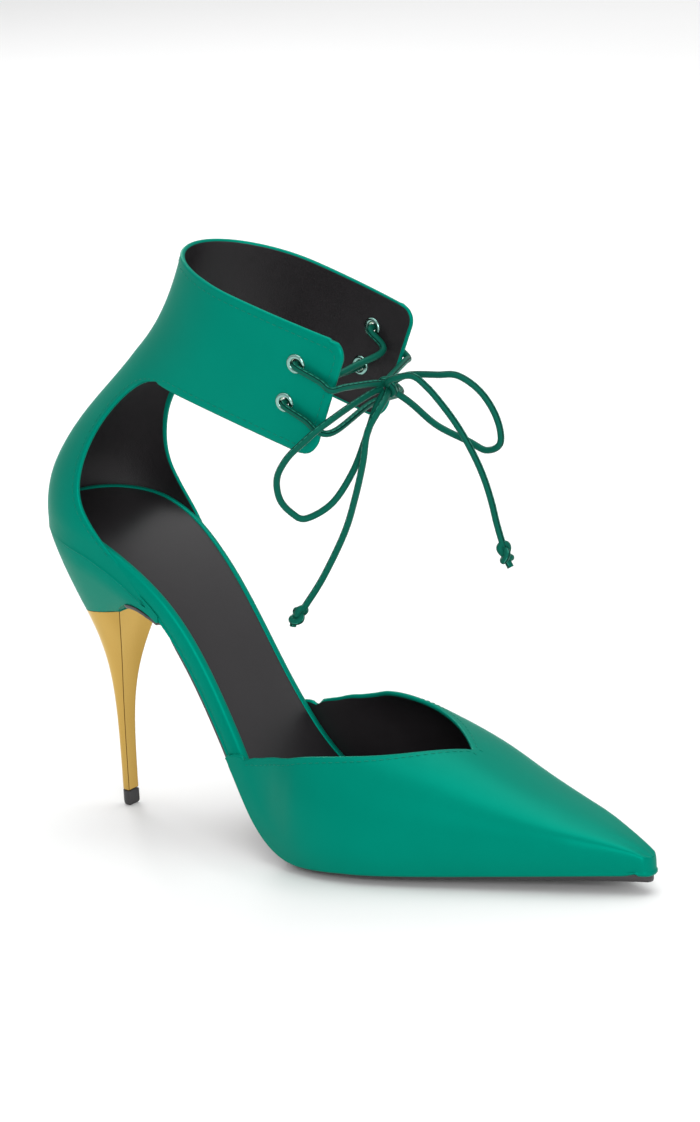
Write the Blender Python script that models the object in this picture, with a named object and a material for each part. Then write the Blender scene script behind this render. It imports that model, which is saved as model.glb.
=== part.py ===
"""Right shoe of a pair of lace up heels: a pointed d'Orsay pump with an ankle cuff.

Metres, +Z up, toe towards +X, outer (lateral) side towards -Y. The origin is on the floor
under the middle of the shoe. Inside the functions "along" runs from the back of the counter
to the toe tip, and heights over the sole are measured square to the curved bottom line.
"""
import math

import bmesh
import bpy
import numpy as np
from mathutils import Vector

MM = 0.001

# Overall sizes
LENGTH = 223 * MM
HEEL_RISE = 97 * MM
TURN_UP = 7 * MM
TURN_OVER = 6 * MM
BALL_HALF = 33.6 * MM
SEAT_HALF = 0.678 * BALL_HALF
SEAT_DEPTH = 22 * MM
TOE_SPRING = 3.8 * MM
TIP_RADIUS = 2.2 * MM
INSTEP_HEIGHT = 50 * MM

# How the sole's edges curl up: over the flat middle share of its width, from a share of the length on
CAMBER = 1.6 * MM
CAMBER_FLAT = 0.3
CAMBER_START = 0.40
CAMBER_FADE = 0.18

# Layers, and how far each stands outside the insole board's edge
OUTSOLE_THICK = 2.0 * MM
OUTSOLE_EDGE_THICK = 1.2 * MM
BOARD_TOP = 5.0 * MM
SOCK_THICK = 1.0 * MM
STRIP_LOW = 0.6 * MM
STRIP_TOP = 6.2 * MM
GAP = 0.3 * MM
STRIP_IN = 0.3 * MM
STRIP_OUT = 1.9 * MM
WALL_IN = 0.9 * MM
WALL_OUT = 2.4 * MM
OUTSOLE_GROW = 1.3 * MM
BLOCK_GROW = 2.2 * MM
SOCK_INSET = 1.2 * MM
SOCK_END = 205 * MM

# Spacing of the sections along the sole's layers and along the vamp
LAYER_STEP = 7 * MM
SOLE_STEP = 6 * MM
VAMP_STEP = 6.5 * MM
TOE_STEP = 7.5 * MM

# Vamp
VAMP_START = 77 * MM
THROAT_POINT = 158 * MM
SIDE_HEIGHT = 8 * MM
SIDE_HEIGHT_SHARE = 0.45
SIDE_BULGE = 1.1 * MM
BULGE_WIDTH = 12 * MM
SECTION_POWER = 2.3
STRIP_OVERLAP = 34 * MM

# Counter and ankle cuff
NECK_RISE = 58.6 * MM
NECK_LEAN = 38 * MM
CUT_REACH = 48 * MM
CUFF_HEIGHT = 34 * MM
CUFF_LEAN = 21.5 * MM
CUFF_HALF = 21.2 * MM
CUFF_FRONT_HALF = 17.2 * MM
CUFF_BOTTOM_REACH = 116 * MM
CUFF_TOP_REACH = 131 * MM
CUFF_CORNER = 5 * MM
CUFF_FALL = 0.305
CUFF_ROLL = 0.085
CUFF_TAPER = 1.6
SEAT_LEVEL = 0.3
FOOT_LEVEL = 0.1

# Eyelets, lace
EYELET_SETBACK = 13 * MM
EYELET_LEVELS = (0.33, 0.69)
EYELET_HOLE = 1.6 * MM
EYELET_BARREL = 2.2 * MM
EYELET_FLANGE = 3.2 * MM
EYELET_LIP = 0.55 * MM
EYELET_ROLL = 0.15 * MM
LACE_RADIUS = 1.2 * MM
LACE_CLEAR = 0.6 * MM
LACE_STEP = 2.6 * MM
RUN_STEP = 4.5 * MM
BAR_SAG = 5 * MM
BAR_AHEAD = 4.5 * MM
CROSS_AHEAD = 1.5 * MM
CORNER_AHEAD = 0.8 * MM
CORNER_SHARE = 0.78
KNOT_AHEAD = 8.2 * MM
KNOT_LEVEL = 0.52
KNOT_STEP = 1.8 * MM
BOW_STEP = 6.2 * MM
BOW_SIZE = 100 * MM

# Heel
STEM_TOP = 69 * MM
STEM_TILT = 0.17
STEM_MIDDLE = 20 * MM
STEM_REACH = 29 * MM
STEM_HALF = 12.2 * MM
STEM_HOLLOW = 0.06
LIFT_HEIGHT = 5 * MM
BLOCK_FRONT = 52 * MM
BLOCK_CURVE = 1.22
FLAP_START = 60 * MM
FLAP_END = 31.4 * MM
FLAP_DROP = 16.5 * MM
FLAP_FREE = 2 * MM
FLAP_ROUND = 0.5
CUTTER_BEYOND = 9 * MM
CUTTER_HALF = 40 * MM
PLATE_ALONG = 79 * MM
PLATE_SIZE = (5.0 * MM, 16.0 * MM, 0.7 * MM)

# Bottom line: rise as a share of HEEL_RISE, half widths as shares of BALL_HALF
PROFILE = (
    # along, rise
    (0.000, 1.000), (0.040, 0.985), (0.081, 0.963), (0.117, 0.935), (0.157, 0.884), (0.202, 0.800),
    (0.238, 0.709), (0.273, 0.586), (0.305, 0.452), (0.336, 0.327), (0.368, 0.204), (0.408, 0.088),
    (0.453, 0.022), (0.493, 0.000), (0.538, 0.000), (0.583, 0.000), (0.640, 0.000), (0.740, 0.000),
    (0.850, 0.000), (1.000, 0.000),
)
SPRING_START = 0.60
SPRING_POWER = 1.25
OUTLINE = (
    # along, lateral, medial
    (-0.040, 0.678, 0.678), (0.060, 0.680, 0.678), (0.125, 0.682, 0.670), (0.161, 0.660, 0.632),
    (0.206, 0.602, 0.548), (0.251, 0.556, 0.480), (0.296, 0.550, 0.464), (0.341, 0.602, 0.492),
    (0.386, 0.722, 0.577), (0.430, 0.848, 0.708), (0.475, 0.944, 0.834), (0.529, 1.008, 0.946),
    (0.583, 0.995, 1.008), (0.637, 0.906, 0.974), (0.700, 0.765, 0.844), (0.762, 0.613, 0.688),
    (0.825, 0.462, 0.524), (0.888, 0.314, 0.352), (0.942, 0.170, 0.184), (0.979, 0.066, 0.066),
    (1.030, -0.060, -0.060),
)

# Vamp: ridge as a share of INSTEP_HEIGHT; top edge from -1 at the sole, 0 at the widest, 1 at the ridge
RIDGE = (
    # along, ridge
    (0.300, 0.980), (0.400, 0.980), (0.500, 0.950), (0.547, 0.900), (0.592, 0.838), (0.632, 0.775),
    (0.672, 0.713), (0.708, 0.652), (0.749, 0.562), (0.794, 0.470), (0.839, 0.390), (0.883, 0.313),
    (0.928, 0.238), (0.964, 0.170), (0.985, 0.120), (1.000, 0.065), (1.040, 0.010),
)
TOPLINE = (
    # along, lateral, medial
    (0.3455, -0.70, -0.25), (0.3475, -0.42, -0.06), (0.350, -0.18, 0.03), (0.3535, -0.03, 0.08),
    (0.3585, 0.03, 0.13), (0.368, 0.08, 0.20), (0.386, 0.17, 0.30), (0.408, 0.255, 0.385), (0.453, 0.345, 0.51), (0.493, 0.40, 0.60),
    (0.538, 0.45, 0.65), (0.583, 0.52, 0.69), (0.632, 0.63, 0.775), (0.672, 0.79, 0.88),
    (0.708, 1.000, 1.000),
)

# Counter, from the sole up to the line where the cuff starts
COUNTER = (
    # up, back, width, depth, cut
    (0.000, 0.000, 1.000, 1.00, 1.000), (0.083, 0.000, 1.018, 1.02, 0.790), (0.182, 0.012, 1.026, 1.04, 0.604),
    (0.300, 0.058, 1.004, 1.05, 0.469), (0.413, 0.158, 0.974, 1.05, 0.385), (0.530, 0.290, 0.947, 1.07, 0.323),
    (0.645, 0.447, 0.921, 1.12, 0.271), (0.760, 0.630, 0.900, 1.16, 0.240), (0.860, 0.790, 0.890, 1.21, 0.256),
    (0.942, 0.916, 0.886, 1.23, 0.298), (1.000, 1.000, 0.882, 1.255, 0.354),
)
CUFF = (
    # up, lean, width
    (0.00, 0.00, 0.948), (0.05, 0.08, 0.952), (0.15, 0.235, 0.965), (0.32, 0.46, 0.985), (0.55, 0.69, 1.0),
    (0.75, 0.845, 1.0), (0.90, 0.945, 1.0), (0.97, 0.985, 1.0), (1.00, 1.00, 1.0),
)

# Metal stem of the heel: back and front as shares of STEM_REACH, half width as a share of STEM_HALF
STEM = (
    # up, back, front, half
    (0.00, 0.545, 0.683, 0.205), (0.20, 0.545, 0.686, 0.209), (0.40, 0.538, 0.700, 0.225),
    (0.55, 0.517, 0.731, 0.287), (0.68, 0.479, 0.783, 0.402), (0.80, 0.417, 0.852, 0.582),
    (0.90, 0.345, 0.924, 0.787), (1.00, 0.255, 1.000, 1.000),
)
FLAP = (
    # along, drop: how far the outsole's end hangs under the bottom line, as a share of FLAP_DROP
    (0.300, 0.00), (0.278, 0.00), (0.256, 0.00), (0.238, 0.03), (0.220, 0.13), (0.200, 0.27), (0.180, 0.45),
    (0.160, 0.70), (0.143, 1.00), (0.128, 1.28),
)

# The bow's free routes, in hundredths of BOW_SIZE from the knot
LOOP_LATERAL = (
    # forward, across, up
    (-2.5, -1.6, -0.3), (-3.2, -5.0, -1.4), (-5.0, -13.0, -3.6), (-6.1, -22.0, -6.0), (-9.1, -26.0, -8.9),
    (-12.9, -28.0, -12.5), (-19.0, -28.5, -18.0), (-23.6, -28.0, -24.8), (-23.8, -27.0, -31.8),
    (-20.9, -25.0, -36.5), (-17.1, -23.0, -38.3), (-10.3, -18.0, -33.8), (-5.8, -12.2, -24.5),
    (-2.2, -9.0, -13.6), (-1.2, -5.0, -6.0), (-0.8, -1.6, -2.4),
)
LOOP_MEDIAL = (
    # forward, across, up
    (1.6, 1.6, 1.9), (3.4, 3.8, 2.8), (7.4, 4.6, 3.7), (16.0, 5.0, 4.3), (23.2, 6.0, 4.4), (30.0, 8.0, -0.7),
    (34.7, 9.0, -8.8), (35.5, 9.0, -16.5), (30.5, 8.5, -19.2), (24.7, 7.5, -16.7), (14.6, 5.5, -12.2),
    (6.7, 4.4, -6.2), (3.4, 3.4, -3.6), (1.9, 1.6, -1.7),
)
END_LATERAL = (
    # forward, across, up
    (1.9, -1.6, -1.7), (3.0, -5.4, -2.4), (3.2, -10.0, -5.4), (0.7, -12.5, -11.5), (-0.9, -13.6, -21.1),
    (-3.9, -14.4, -31.9), (-8.5, -15.0, -43.9), (-16.2, -17.0, -58.5), (-22.6, -18.5, -68.0), (-24.4, -19.0, -70.4),
)
END_MEDIAL = (
    # forward, across, up
    (1.7, -1.6, 1.9), (4.2, -3.8, 3.6), (11.4, -2.5, 5.3), (16.0, -1.0, 1.8), (20.2, 0.0, -3.1),
    (23.8, 1.0, -8.2), (26.9, 1.8, -13.4), (30.4, 2.6, -20.5), (32.9, 3.2, -27.1), (34.7, 3.8, -34.4),
    (35.9, 4.2, -41.1), (37.8, 4.6, -48.9),
)
KNOT = (
    # forward, across, up
    (1.4, 0.0, 2.1), (0.0, 0.0, 2.5), (-1.8, 0.0, 1.8), (-2.5, 0.0, 0.0), (-1.8, 0.0, -1.8), (0.0, 0.0, -2.5),
    (1.4, 0.0, -2.1),
)
RUN_END = (
    # forward, across, up
    (-1.8, 5.0, 2.2), (-1.2, 1.6, 2.2),
)
# Where the runs to the knot pass over the cuff, over the knot's level as shares of the cuff's height
RUN_RISE = {-1: (0.15, 0.13), 1: (0.09, 0.03)}

SATIN = (0.0, 0.27, 0.18, 1.0)
LEATHER = (0.022, 0.018, 0.021, 1.0)
SOLE_LEATHER = (0.028, 0.025, 0.028, 1.0)
GOLD = (0.72, 0.42, 0.09, 1.0)
RUBBER = (0.012, 0.012, 0.012, 1.0)
LACE = (0.008, 0.085, 0.060, 1.0)
STEEL = (0.35, 0.47, 0.45, 1.0)


def spline(table, column):
    """Smooth curve (cubic B-spline) through the rows of a table, as a function of its first column."""
    rows = np.array(table, dtype=float)[:, (0, column)]
    rows = np.vstack([2 * rows[0] - rows[1], rows, 2 * rows[-1] - rows[-2]])
    t = np.linspace(0, 1, 17)[:, None]
    weights = ((1 - t) ** 3, 3 * t ** 3 - 6 * t ** 2 + 4, -3 * t ** 3 + 3 * t ** 2 + 3 * t + 1, t ** 3)
    pieces = [sum(w * rows[i + k] for k, w in enumerate(weights)) / 6 for i in range(len(rows) - 3)]
    points = np.vstack(pieces)
    return lambda s: float(np.interp(s, points[:, 0], points[:, 1]))


rise_share = spline(PROFILE, 1)
width_share = {-1: spline(OUTLINE, 1), 1: spline(OUTLINE, 2)}
ridge_share = spline(RIDGE, 1)
topline_share = {-1: spline(TOPLINE, 1), 1: spline(TOPLINE, 2)}
counter_back = spline(COUNTER, 1)
counter_width = spline(COUNTER, 2)
counter_depth = spline(COUNTER, 3)
counter_cut = spline(COUNTER, 4)
cuff_lean = spline(CUFF, 1)
cuff_width = spline(CUFF, 2)
stem_sizes = tuple(spline(STEM, k) for k in (1, 2, 3))
flap_drop = spline(tuple(reversed(FLAP)), 1)

HEEL_CENTRE = WALL_OUT + SEAT_DEPTH
TIP_CENTRE = LENGTH - TIP_RADIUS - WALL_OUT
LACE_REACH = (WALL_OUT - WALL_IN) / 2 + GAP + EYELET_LIP + EYELET_ROLL + LACE_RADIUS + LACE_CLEAR


def bottom(along):
    """Height of the bottom line, which is the top of the outsole."""
    share = along / LENGTH
    spring = max(0.0, (share - SPRING_START) / (1 - SPRING_START)) ** SPRING_POWER
    return OUTSOLE_THICK + HEEL_RISE * rise_share(share) + TOE_SPRING * spring


def square_to(along):
    """Unit vector (x, z) square to the bottom line, pointing into the shoe."""
    step = 0.5 * MM
    slope = (bottom(along + step) - bottom(along - step)) / (2 * step)
    size = math.hypot(1, slope)
    return -slope / size, 1 / size


def half_width(along, side, grow=0.0):
    """Half width of the insole board's outline, grown outwards, with its round ends."""
    width = BALL_HALF * width_share[side](along / LENGTH) + grow
    if along < HEEL_CENTRE:
        back = (HEEL_CENTRE - along) / (SEAT_DEPTH + grow)
        width *= math.sqrt(max(0.0, 1 - back * back))
    if along > TIP_CENTRE:
        radius = TIP_RADIUS + grow
        width = min(width, math.sqrt(max(0.0, radius ** 2 - (along - TIP_CENTRE) ** 2)))
    return width


def stations(start, end, step, grow=0.0):
    """Places along the shoe: close together on the round ends, even along the curve between."""
    places = []
    heel_reach = SEAT_DEPTH + grow
    tip_reach = TIP_RADIUS + grow
    if start < HEEL_CENTRE:
        places += [HEEL_CENTRE - heel_reach * math.cos(math.radians(a)) for a in (7, 18, 30, 43, 57, 73)]
    place = max(start, HEEL_CENTRE)
    while place < min(end, TIP_CENTRE) - 0.6 * step:
        places.append(place)
        place += step * square_to(place)[1]
    places.append(min(end, TIP_CENTRE))
    if end > TIP_CENTRE:
        places += [TIP_CENTRE + tip_reach * math.sin(math.radians(a)) for a in (30, 55, 78)]
    return places


def camber(along, across):
    """How far the bottom's edges curl up over its middle, from the waist to the toe."""
    edge = half_width(along, 1 if across > 0 else -1, WALL_OUT)
    fade = min(1.0, max(0.0, (along / LENGTH - CAMBER_START) / CAMBER_FADE))
    share = min(1.0, abs(across) / max(edge, GAP))
    return CAMBER * fade * max(0.0, (share - CAMBER_FLAT) / (1 - CAMBER_FLAT)) ** 2


def place_at(along, across, height):
    """World point at a height over the sole: square to the bottom line at first, then straight up."""
    nx, nz = square_to(along)
    rise = height + camber(along, across)
    square = rise
    if rise > TURN_UP:
        square = TURN_UP + TURN_OVER * (1 - math.exp(-(rise - TURN_UP) / TURN_OVER))
    return Vector((along + square * nx - LENGTH / 2, across, bottom(along) + square * nz + rise - square))


def material(name, colour, rough, metal=0.0):
    """Plain material of one finish."""
    made = bpy.data.materials.new(name)
    made.use_nodes = True
    shader = made.node_tree.nodes["Principled BSDF"]
    shader.inputs["Base Color"].default_value = colour
    shader.inputs["Roughness"].default_value = rough
    shader.inputs["Metallic"].default_value = metal
    return made


def smooth_route(points, step):
    """Evenly spaced points on a smooth curve (Catmull-Rom) through chosen points."""
    nodes = [2 * points[0] - points[1]] + list(points) + [2 * points[-1] - points[-2]]
    fine = []
    for a, b, c, d in zip(nodes, nodes[1:], nodes[2:], nodes[3:]):
        for i in range(12):
            t = i / 12
            fine.append(0.5 * (2 * b + (c - a) * t + (2 * a - 5 * b + 4 * c - d) * t ** 2
                               + (3 * b - a - 3 * c + d) * t ** 3))
    fine.append(points[-1])
    lengths = np.concatenate([[0.0], np.cumsum([(q - p).length for p, q in zip(fine, fine[1:])])])
    count = max(3, round(lengths[-1] / step) + 1)
    even = np.linspace(0, lengths[-1], count)
    return [Vector([np.interp(e, lengths, [p[k] for p in fine]) for k in range(3)]) for e in even]


def cord(name, points, finish):
    """Free run of the lace: a filled curve with closed ends."""
    curve = bpy.data.curves.new(name, "CURVE")
    curve.dimensions = "3D"
    curve.bevel_depth = LACE_RADIUS
    curve.bevel_resolution = 2
    curve.use_fill_caps = True
    line = curve.splines.new("POLY")
    line.points.add(len(points) - 1)
    for point, place in zip(line.points, points):
        point.co = (*place, 1.0)
    curve.materials.append(finish)
    made = bpy.data.objects.new(name, curve)
    bpy.context.collection.objects.link(made)
    return made


def add_object(name, verts, faces, finish, sharp_angle=35):
    """Mesh object with faces pointing out, shaded smooth between its sharp edges."""
    mesh = bpy.data.meshes.new(name)
    mesh.from_pydata([tuple(v) for v in verts], [], faces)
    made = bmesh.new()
    made.from_mesh(mesh)
    bmesh.ops.recalc_face_normals(made, faces=made.faces)
    made.to_mesh(mesh)
    made.free()
    mesh.shade_smooth()
    mesh.set_sharp_from_angle(angle=math.radians(sharp_angle))
    if finish:
        mesh.materials.append(finish)
    made_object = bpy.data.objects.new(name, mesh)
    bpy.context.collection.objects.link(made_object)
    return made_object


def close_shell(outer, inner, faces):
    """Closed solid between two matching skins: both skins and a wall along their open edges."""
    count = len(outer)
    edges = {}
    for face in faces:
        for a, b in zip(face, face[1:] + face[:1]):
            edges[(a, b)] = True
    wall = [(b, a, a + count, b + count) for a, b in edges if (b, a) not in edges]
    back = [tuple(i + count for i in reversed(face)) for face in faces]
    return list(outer) + list(inner), list(faces) + back + wall


def solid_from_sections(sections, cap_ends=True):
    """Closed solid through a row of matching closed sections."""
    size = len(sections[0])
    verts = [point for section in sections for point in section]
    faces = []
    for i in range(len(sections) - 1):
        for j in range(size):
            k = (j + 1) % size
            faces.append((i * size + j, i * size + k, (i + 1) * size + k, (i + 1) * size + j))
    if cap_ends:
        faces.append(tuple(reversed(range(size))))
        faces.append(tuple(range((len(sections) - 1) * size, len(sections) * size)))
    return verts, faces


def cut_or_join(target, tool, operation):
    """Apply an exact Boolean to the target and remove the tool."""
    modifier = target.modifiers.new(operation.lower(), "BOOLEAN")
    modifier.operation = operation
    modifier.solver = "EXACT"
    modifier.object = tool
    graph = bpy.context.evaluated_depsgraph_get()
    result = bpy.data.meshes.new_from_object(target.evaluated_get(graph))
    target.modifiers.remove(modifier)
    target.data = result
    bpy.data.objects.remove(tool)


def sheet(name, low, high, grow, start, end, finish):
    """Flat layer of the bottom that follows its curve, between two heights."""
    sections = []
    for along in stations(start, end, LAYER_STEP, grow):
        row = [c * half_width(along, 1 if c > 0 else -1, grow) for c in (-1, -0.5, 0, 0.5, 1)]
        sections.append([place_at(along, y, low) for y in row] + [place_at(along, y, high) for y in reversed(row)])
    verts, faces = solid_from_sections(sections)
    return add_object(name, verts, faces, finish)


def seat_place(share):
    """Place along the shoe at a share of the way round the seat, from its back to the block's front."""
    reach = SEAT_DEPTH + BLOCK_GROW
    quarter = math.pi / 2 * reach
    run = share * (quarter + BLOCK_FRONT - HEEL_CENTRE)
    turn = min(run, quarter) / quarter * math.pi / 2
    return HEEL_CENTRE - reach * math.cos(turn) + max(0.0, run - quarter)


def block_point(share, v, side):
    """Point (along, across, height) on the heel block's side: v runs from the seat down to the stem."""
    along = seat_place(share)
    top = Vector((along, side * half_width(along, side, BLOCK_GROW) if share else 0.0, bottom(along)))
    base = stem_outline(share * math.pi / 2, 1.0)
    low = Vector((base[0], side * base[1], stem_height(1.0, base[0]) + GAP))
    point = top.lerp(low, v ** BLOCK_CURVE)
    point.z = top.z + (low.z - top.z) * v
    return point


def block_half(along, height, side):
    """Half width of the heel block at a place along and a height."""
    places, widths = [], []
    for i in range(41):
        top = block_point(i / 40, 0.0, side).z
        low = block_point(i / 40, 1.0, side).z
        point = block_point(i / 40, min(1.0, max(0.0, (top - height) / (top - low))), side)
        places.append(point.x)
        widths.append(abs(point.y))
    return float(np.interp(along, places, widths))


def flap_points():
    """Top of the outsole's end, from the waist back to the stem, as (along, height) pairs."""
    places = np.linspace(FLAP_START, FLAP_END, 12)
    return [(x, bottom(x) - FLAP_DROP * flap_drop(x / LENGTH)) for x in places]


def outsole(finish):
    """Thin leather sole from the toe to its rounded end on the front of the heel."""
    flap = list(reversed(flap_points()))
    path = []
    for i, (x, z) in enumerate(flap):
        ahead = flap[min(i + 1, len(flap) - 1)]
        behind = flap[max(i - 1, 0)]
        tangent = Vector((ahead[0] - behind[0], 0, ahead[1] - behind[1])).normalized()
        up = Vector((-tangent.z, 0, tangent.x))
        free = min(1.0, FLAP_DROP * flap_drop(x / LENGTH) / FLAP_FREE)
        widths = []
        for side in (-1, 1):
            sole = half_width(x, side, OUTSOLE_GROW)
            block = min(sole, block_half(x, z, side) + GAP)
            widths.append(sole + (block - sole) * free)
        end = 1 - FLAP_ROUND * (1 - i / 4) ** 2 if i < 4 else 1.0
        path.append((Vector((x, 0, z)), up, [w * end for w in widths]))
    for along in stations(FLAP_START + SOLE_STEP, TIP_CENTRE + 1, SOLE_STEP, OUTSOLE_GROW):
        nx, nz = square_to(along)
        widths = [half_width(along, side, OUTSOLE_GROW) for side in (-1, 1)]
        path.append((Vector((along, 0, bottom(along))), Vector((nx, 0, nz)), widths))
    sections = []
    for base, up, widths in path:
        top, under = [], []
        for c in (-1.0, -0.7, -0.25, 0.25, 0.7, 1.0):
            across = c * widths[0 if c < 0 else 1]
            thick = OUTSOLE_THICK if abs(c) < 0.8 else OUTSOLE_EDGE_THICK
            point = base + up * camber(base.x, across) + Vector((-LENGTH / 2, across, 0))
            top.append(point)
            under.append(point - up * thick)
        sections.append(top + list(reversed(under)))
    verts, faces = solid_from_sections(sections)
    return add_object("outsole", verts, faces, finish)


def vamp_point(along, side, level, grow):
    """Point of the vamp's form: level -1 at the sole, 0 at the widest, 1 on the ridge."""
    edge = half_width(along, side, grow)
    ridge = INSTEP_HEIGHT * ridge_share(along / LENGTH) + grow
    widest = min(SIDE_HEIGHT, SIDE_HEIGHT_SHARE * ridge)
    bulge = SIDE_BULGE * min(1.0, edge / BULGE_WIDTH)
    if level < 0:
        rise = level + 1
        across = edge + bulge * math.sin(rise * math.pi / 2)
        height = GAP + (widest - GAP) * rise
    else:
        angle = level * math.pi / 2
        power = 2 / SECTION_POWER
        across = (edge + bulge) * max(0.0, math.cos(angle)) ** power
        height = widest + (ridge - widest) * math.sin(angle) ** power
    if level == 1:
        across = 0.0
    return place_at(along, side * across, height)


def vamp_skin(grow, rows=8):
    """Outer or inner skin of the vamp, with its V throat."""
    places = stations(VAMP_START, THROAT_POINT, VAMP_STEP, grow)
    throat = len(places) - 1
    places += stations(THROAT_POINT, TIP_CENTRE + 1, TOE_STEP, grow)[1:]
    verts, faces, index = [], [], {}
    for i, along in enumerate(places):
        for side in (-1, 1):
            top = 1.0 if i >= throat else min(1.0, topline_share[side](along / LENGTH))
            for j in range(rows + 1):
                if i >= throat and j == rows and side == 1:
                    index[i, side, j] = index[i, -1, j]
                    continue
                index[i, side, j] = len(verts)
                verts.append(vamp_point(along, side, -1 + (top + 1) * j / rows, grow))
    for i in range(len(places) - 1):
        for j in range(rows):
            for side in (-1, 1):
                face = (index[i, side, j], index[i + 1, side, j], index[i + 1, side, j + 1], index[i, side, j + 1])
                faces.append(face if side == -1 else tuple(reversed(face)))
    last = len(places) - 1
    faces.append(tuple(index[last, 1, j] for j in range(rows + 1))
                 + tuple(index[last, -1, j] for j in reversed(range(rows))))
    return verts, faces


def ring_point(share, extent, depth, width, side, grow):
    """Point (along the ring, across) of a ring that is round behind and runs straight on in front."""
    depth += grow
    width += grow
    if extent <= depth:
        turn = share * math.acos(1 - extent / depth)
        return depth * (1 - math.cos(turn)), width * math.sin(turn)
    quarter = math.pi / 4 * (depth + width)
    run = share * (quarter + extent - depth)
    if run < quarter:
        turn = run / quarter * math.pi / 2
        return depth * (1 - math.cos(turn)), width * math.sin(turn)
    reach = depth + run - quarter
    narrow = width_share[side](min(reach, CUT_REACH) / LENGTH) / width_share[side](depth / LENGTH)
    return reach, width * min(1.0, narrow)


def lean_factor(curve, up, run, rise):
    """How much thicker a leaning wall is when it is measured level."""
    step = 0.01
    return math.hypot(1, (curve(up + step) - curve(up - step)) / (2 * step) * run / rise)


def counter_point(up, share, side, grow):
    """Point of the counter's form, from the sole (up 0) to the cuff's lower line (up 1)."""
    inset = (WALL_OUT - grow) * lean_factor(counter_back, min(max(up, 0.02), 0.98), NECK_LEAN, NECK_RISE)
    back = NECK_LEAN * counter_back(up) + inset
    extent = CUT_REACH * counter_cut(up) - inset
    reach, across = ring_point(share, extent, SEAT_DEPTH * counter_depth(up),
                               SEAT_HALF * counter_width(up), side, grow)
    along = back + reach
    level = min(1.0, up / SEAT_LEVEL)
    fall = (1 - level) * (bottom(0) - bottom(along)) + level * CUFF_FALL * reach
    height = bottom(0) + GAP + NECK_RISE * up - fall
    if up < FOOT_LEVEL:
        across = half_width(along, side, grow)
        height += camber(along, across)
    return Vector((along - LENGTH / 2, side * across, height))


def cuff_point(up, along_share, side, grow, shared):
    """Point of the cuff's form: shared columns sit over the counter, the others run on to the flap's end."""
    inset = (WALL_OUT - grow) * lean_factor(cuff_lean, min(max(up, 0.02), 0.98), CUFF_LEAN, CUFF_HEIGHT)
    back = NECK_LEAN + CUFF_LEAN * cuff_lean(up) + inset
    depth = SEAT_DEPTH * counter_depth(1.0) + grow
    width = CUFF_HALF * cuff_width(up) + grow
    start = CUT_REACH * counter_cut(1.0) - inset
    end = CUFF_BOTTOM_REACH + (CUFF_TOP_REACH - CUFF_BOTTOM_REACH) * up - back
    from_edge = min(up, 1 - up) * CUFF_HEIGHT
    if from_edge < CUFF_CORNER:
        end -= CUFF_CORNER - math.sqrt(CUFF_CORNER ** 2 - (CUFF_CORNER - from_edge) ** 2)
    if shared:
        turn = along_share * math.acos(1 - start / depth)
        reach = depth * (1 - math.cos(turn))
    else:
        reach = start + (end - start) * along_share
    if reach < depth:
        across = width * math.sqrt(max(0.0, 1 - (1 - reach / depth) ** 2))
    else:
        front = CUFF_FRONT_HALF + grow
        across = width - (width - front) * ((reach - depth) / (end - depth)) ** CUFF_TAPER
    fall = CUFF_FALL * reach - CUFF_ROLL * side * across * (reach / end) ** 2
    height = bottom(0) + GAP + NECK_RISE + CUFF_HEIGHT * up - fall
    return Vector((back + reach - LENGTH / 2, side * across, height))


def quarter_skin(grow, across_steps=8, flap_steps=11):
    """Outer or inner skin of the counter and the cuff in one piece, with the open waist between."""
    verts, faces, index = [], [], {}
    counter_rows = [row[0] for row in COUNTER]
    cuff_rows = [row[0] for row in CUFF]
    last = len(counter_rows) - 1
    for r, up in enumerate(counter_rows):
        for c in range(-across_steps, across_steps + 1):
            index[r, c] = len(verts)
            side = -1 if c < 0 else 1
            verts.append(counter_point(up, abs(c) / across_steps, side, grow))
    for r, up in enumerate(cuff_rows):
        for c in range(-across_steps - flap_steps, across_steps + flap_steps + 1):
            if r == 0 and abs(c) <= across_steps:
                continue
            index[last + r, c] = len(verts)
            side = -1 if c < 0 else 1
            shared = abs(c) <= across_steps
            share = abs(c) / across_steps if shared else (abs(c) - across_steps) / flap_steps
            verts.append(cuff_point(up, share, side, grow, shared))
    for r in range(last + len(cuff_rows) - 1):
        reach = across_steps if r < last else across_steps + flap_steps
        for c in range(-reach, reach):
            faces.append((index[r, c], index[r, c + 1], index[r + 1, c + 1], index[r + 1, c]))
    return verts, faces


def edge_strip(finish):
    """Satin strip round the insole's edge: it joins the vamp to the counter along the waist."""
    end = VAMP_START + STRIP_OVERLAP
    corners = ((STRIP_OUT, STRIP_LOW), (STRIP_OUT, STRIP_TOP), (STRIP_IN, STRIP_TOP), (STRIP_IN, STRIP_LOW))
    places = {grow: stations(0.0, end, SOLE_STEP, grow) for grow in (STRIP_OUT, STRIP_IN)}
    rings = {-1: [], 1: []}
    for side in (-1, 1):
        for i in range(len(places[STRIP_OUT])):
            rings[side].append([place_at(places[grow][i], side * half_width(places[grow][i], side, grow), height)
                                for grow, height in corners])
    behind = [place_at(HEEL_CENTRE - SEAT_DEPTH - grow, 0.0, height) for grow, height in corners]
    verts, faces = solid_from_sections(list(reversed(rings[-1])) + [behind] + rings[1])
    return add_object("edge_strip", verts, faces, finish)


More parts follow.
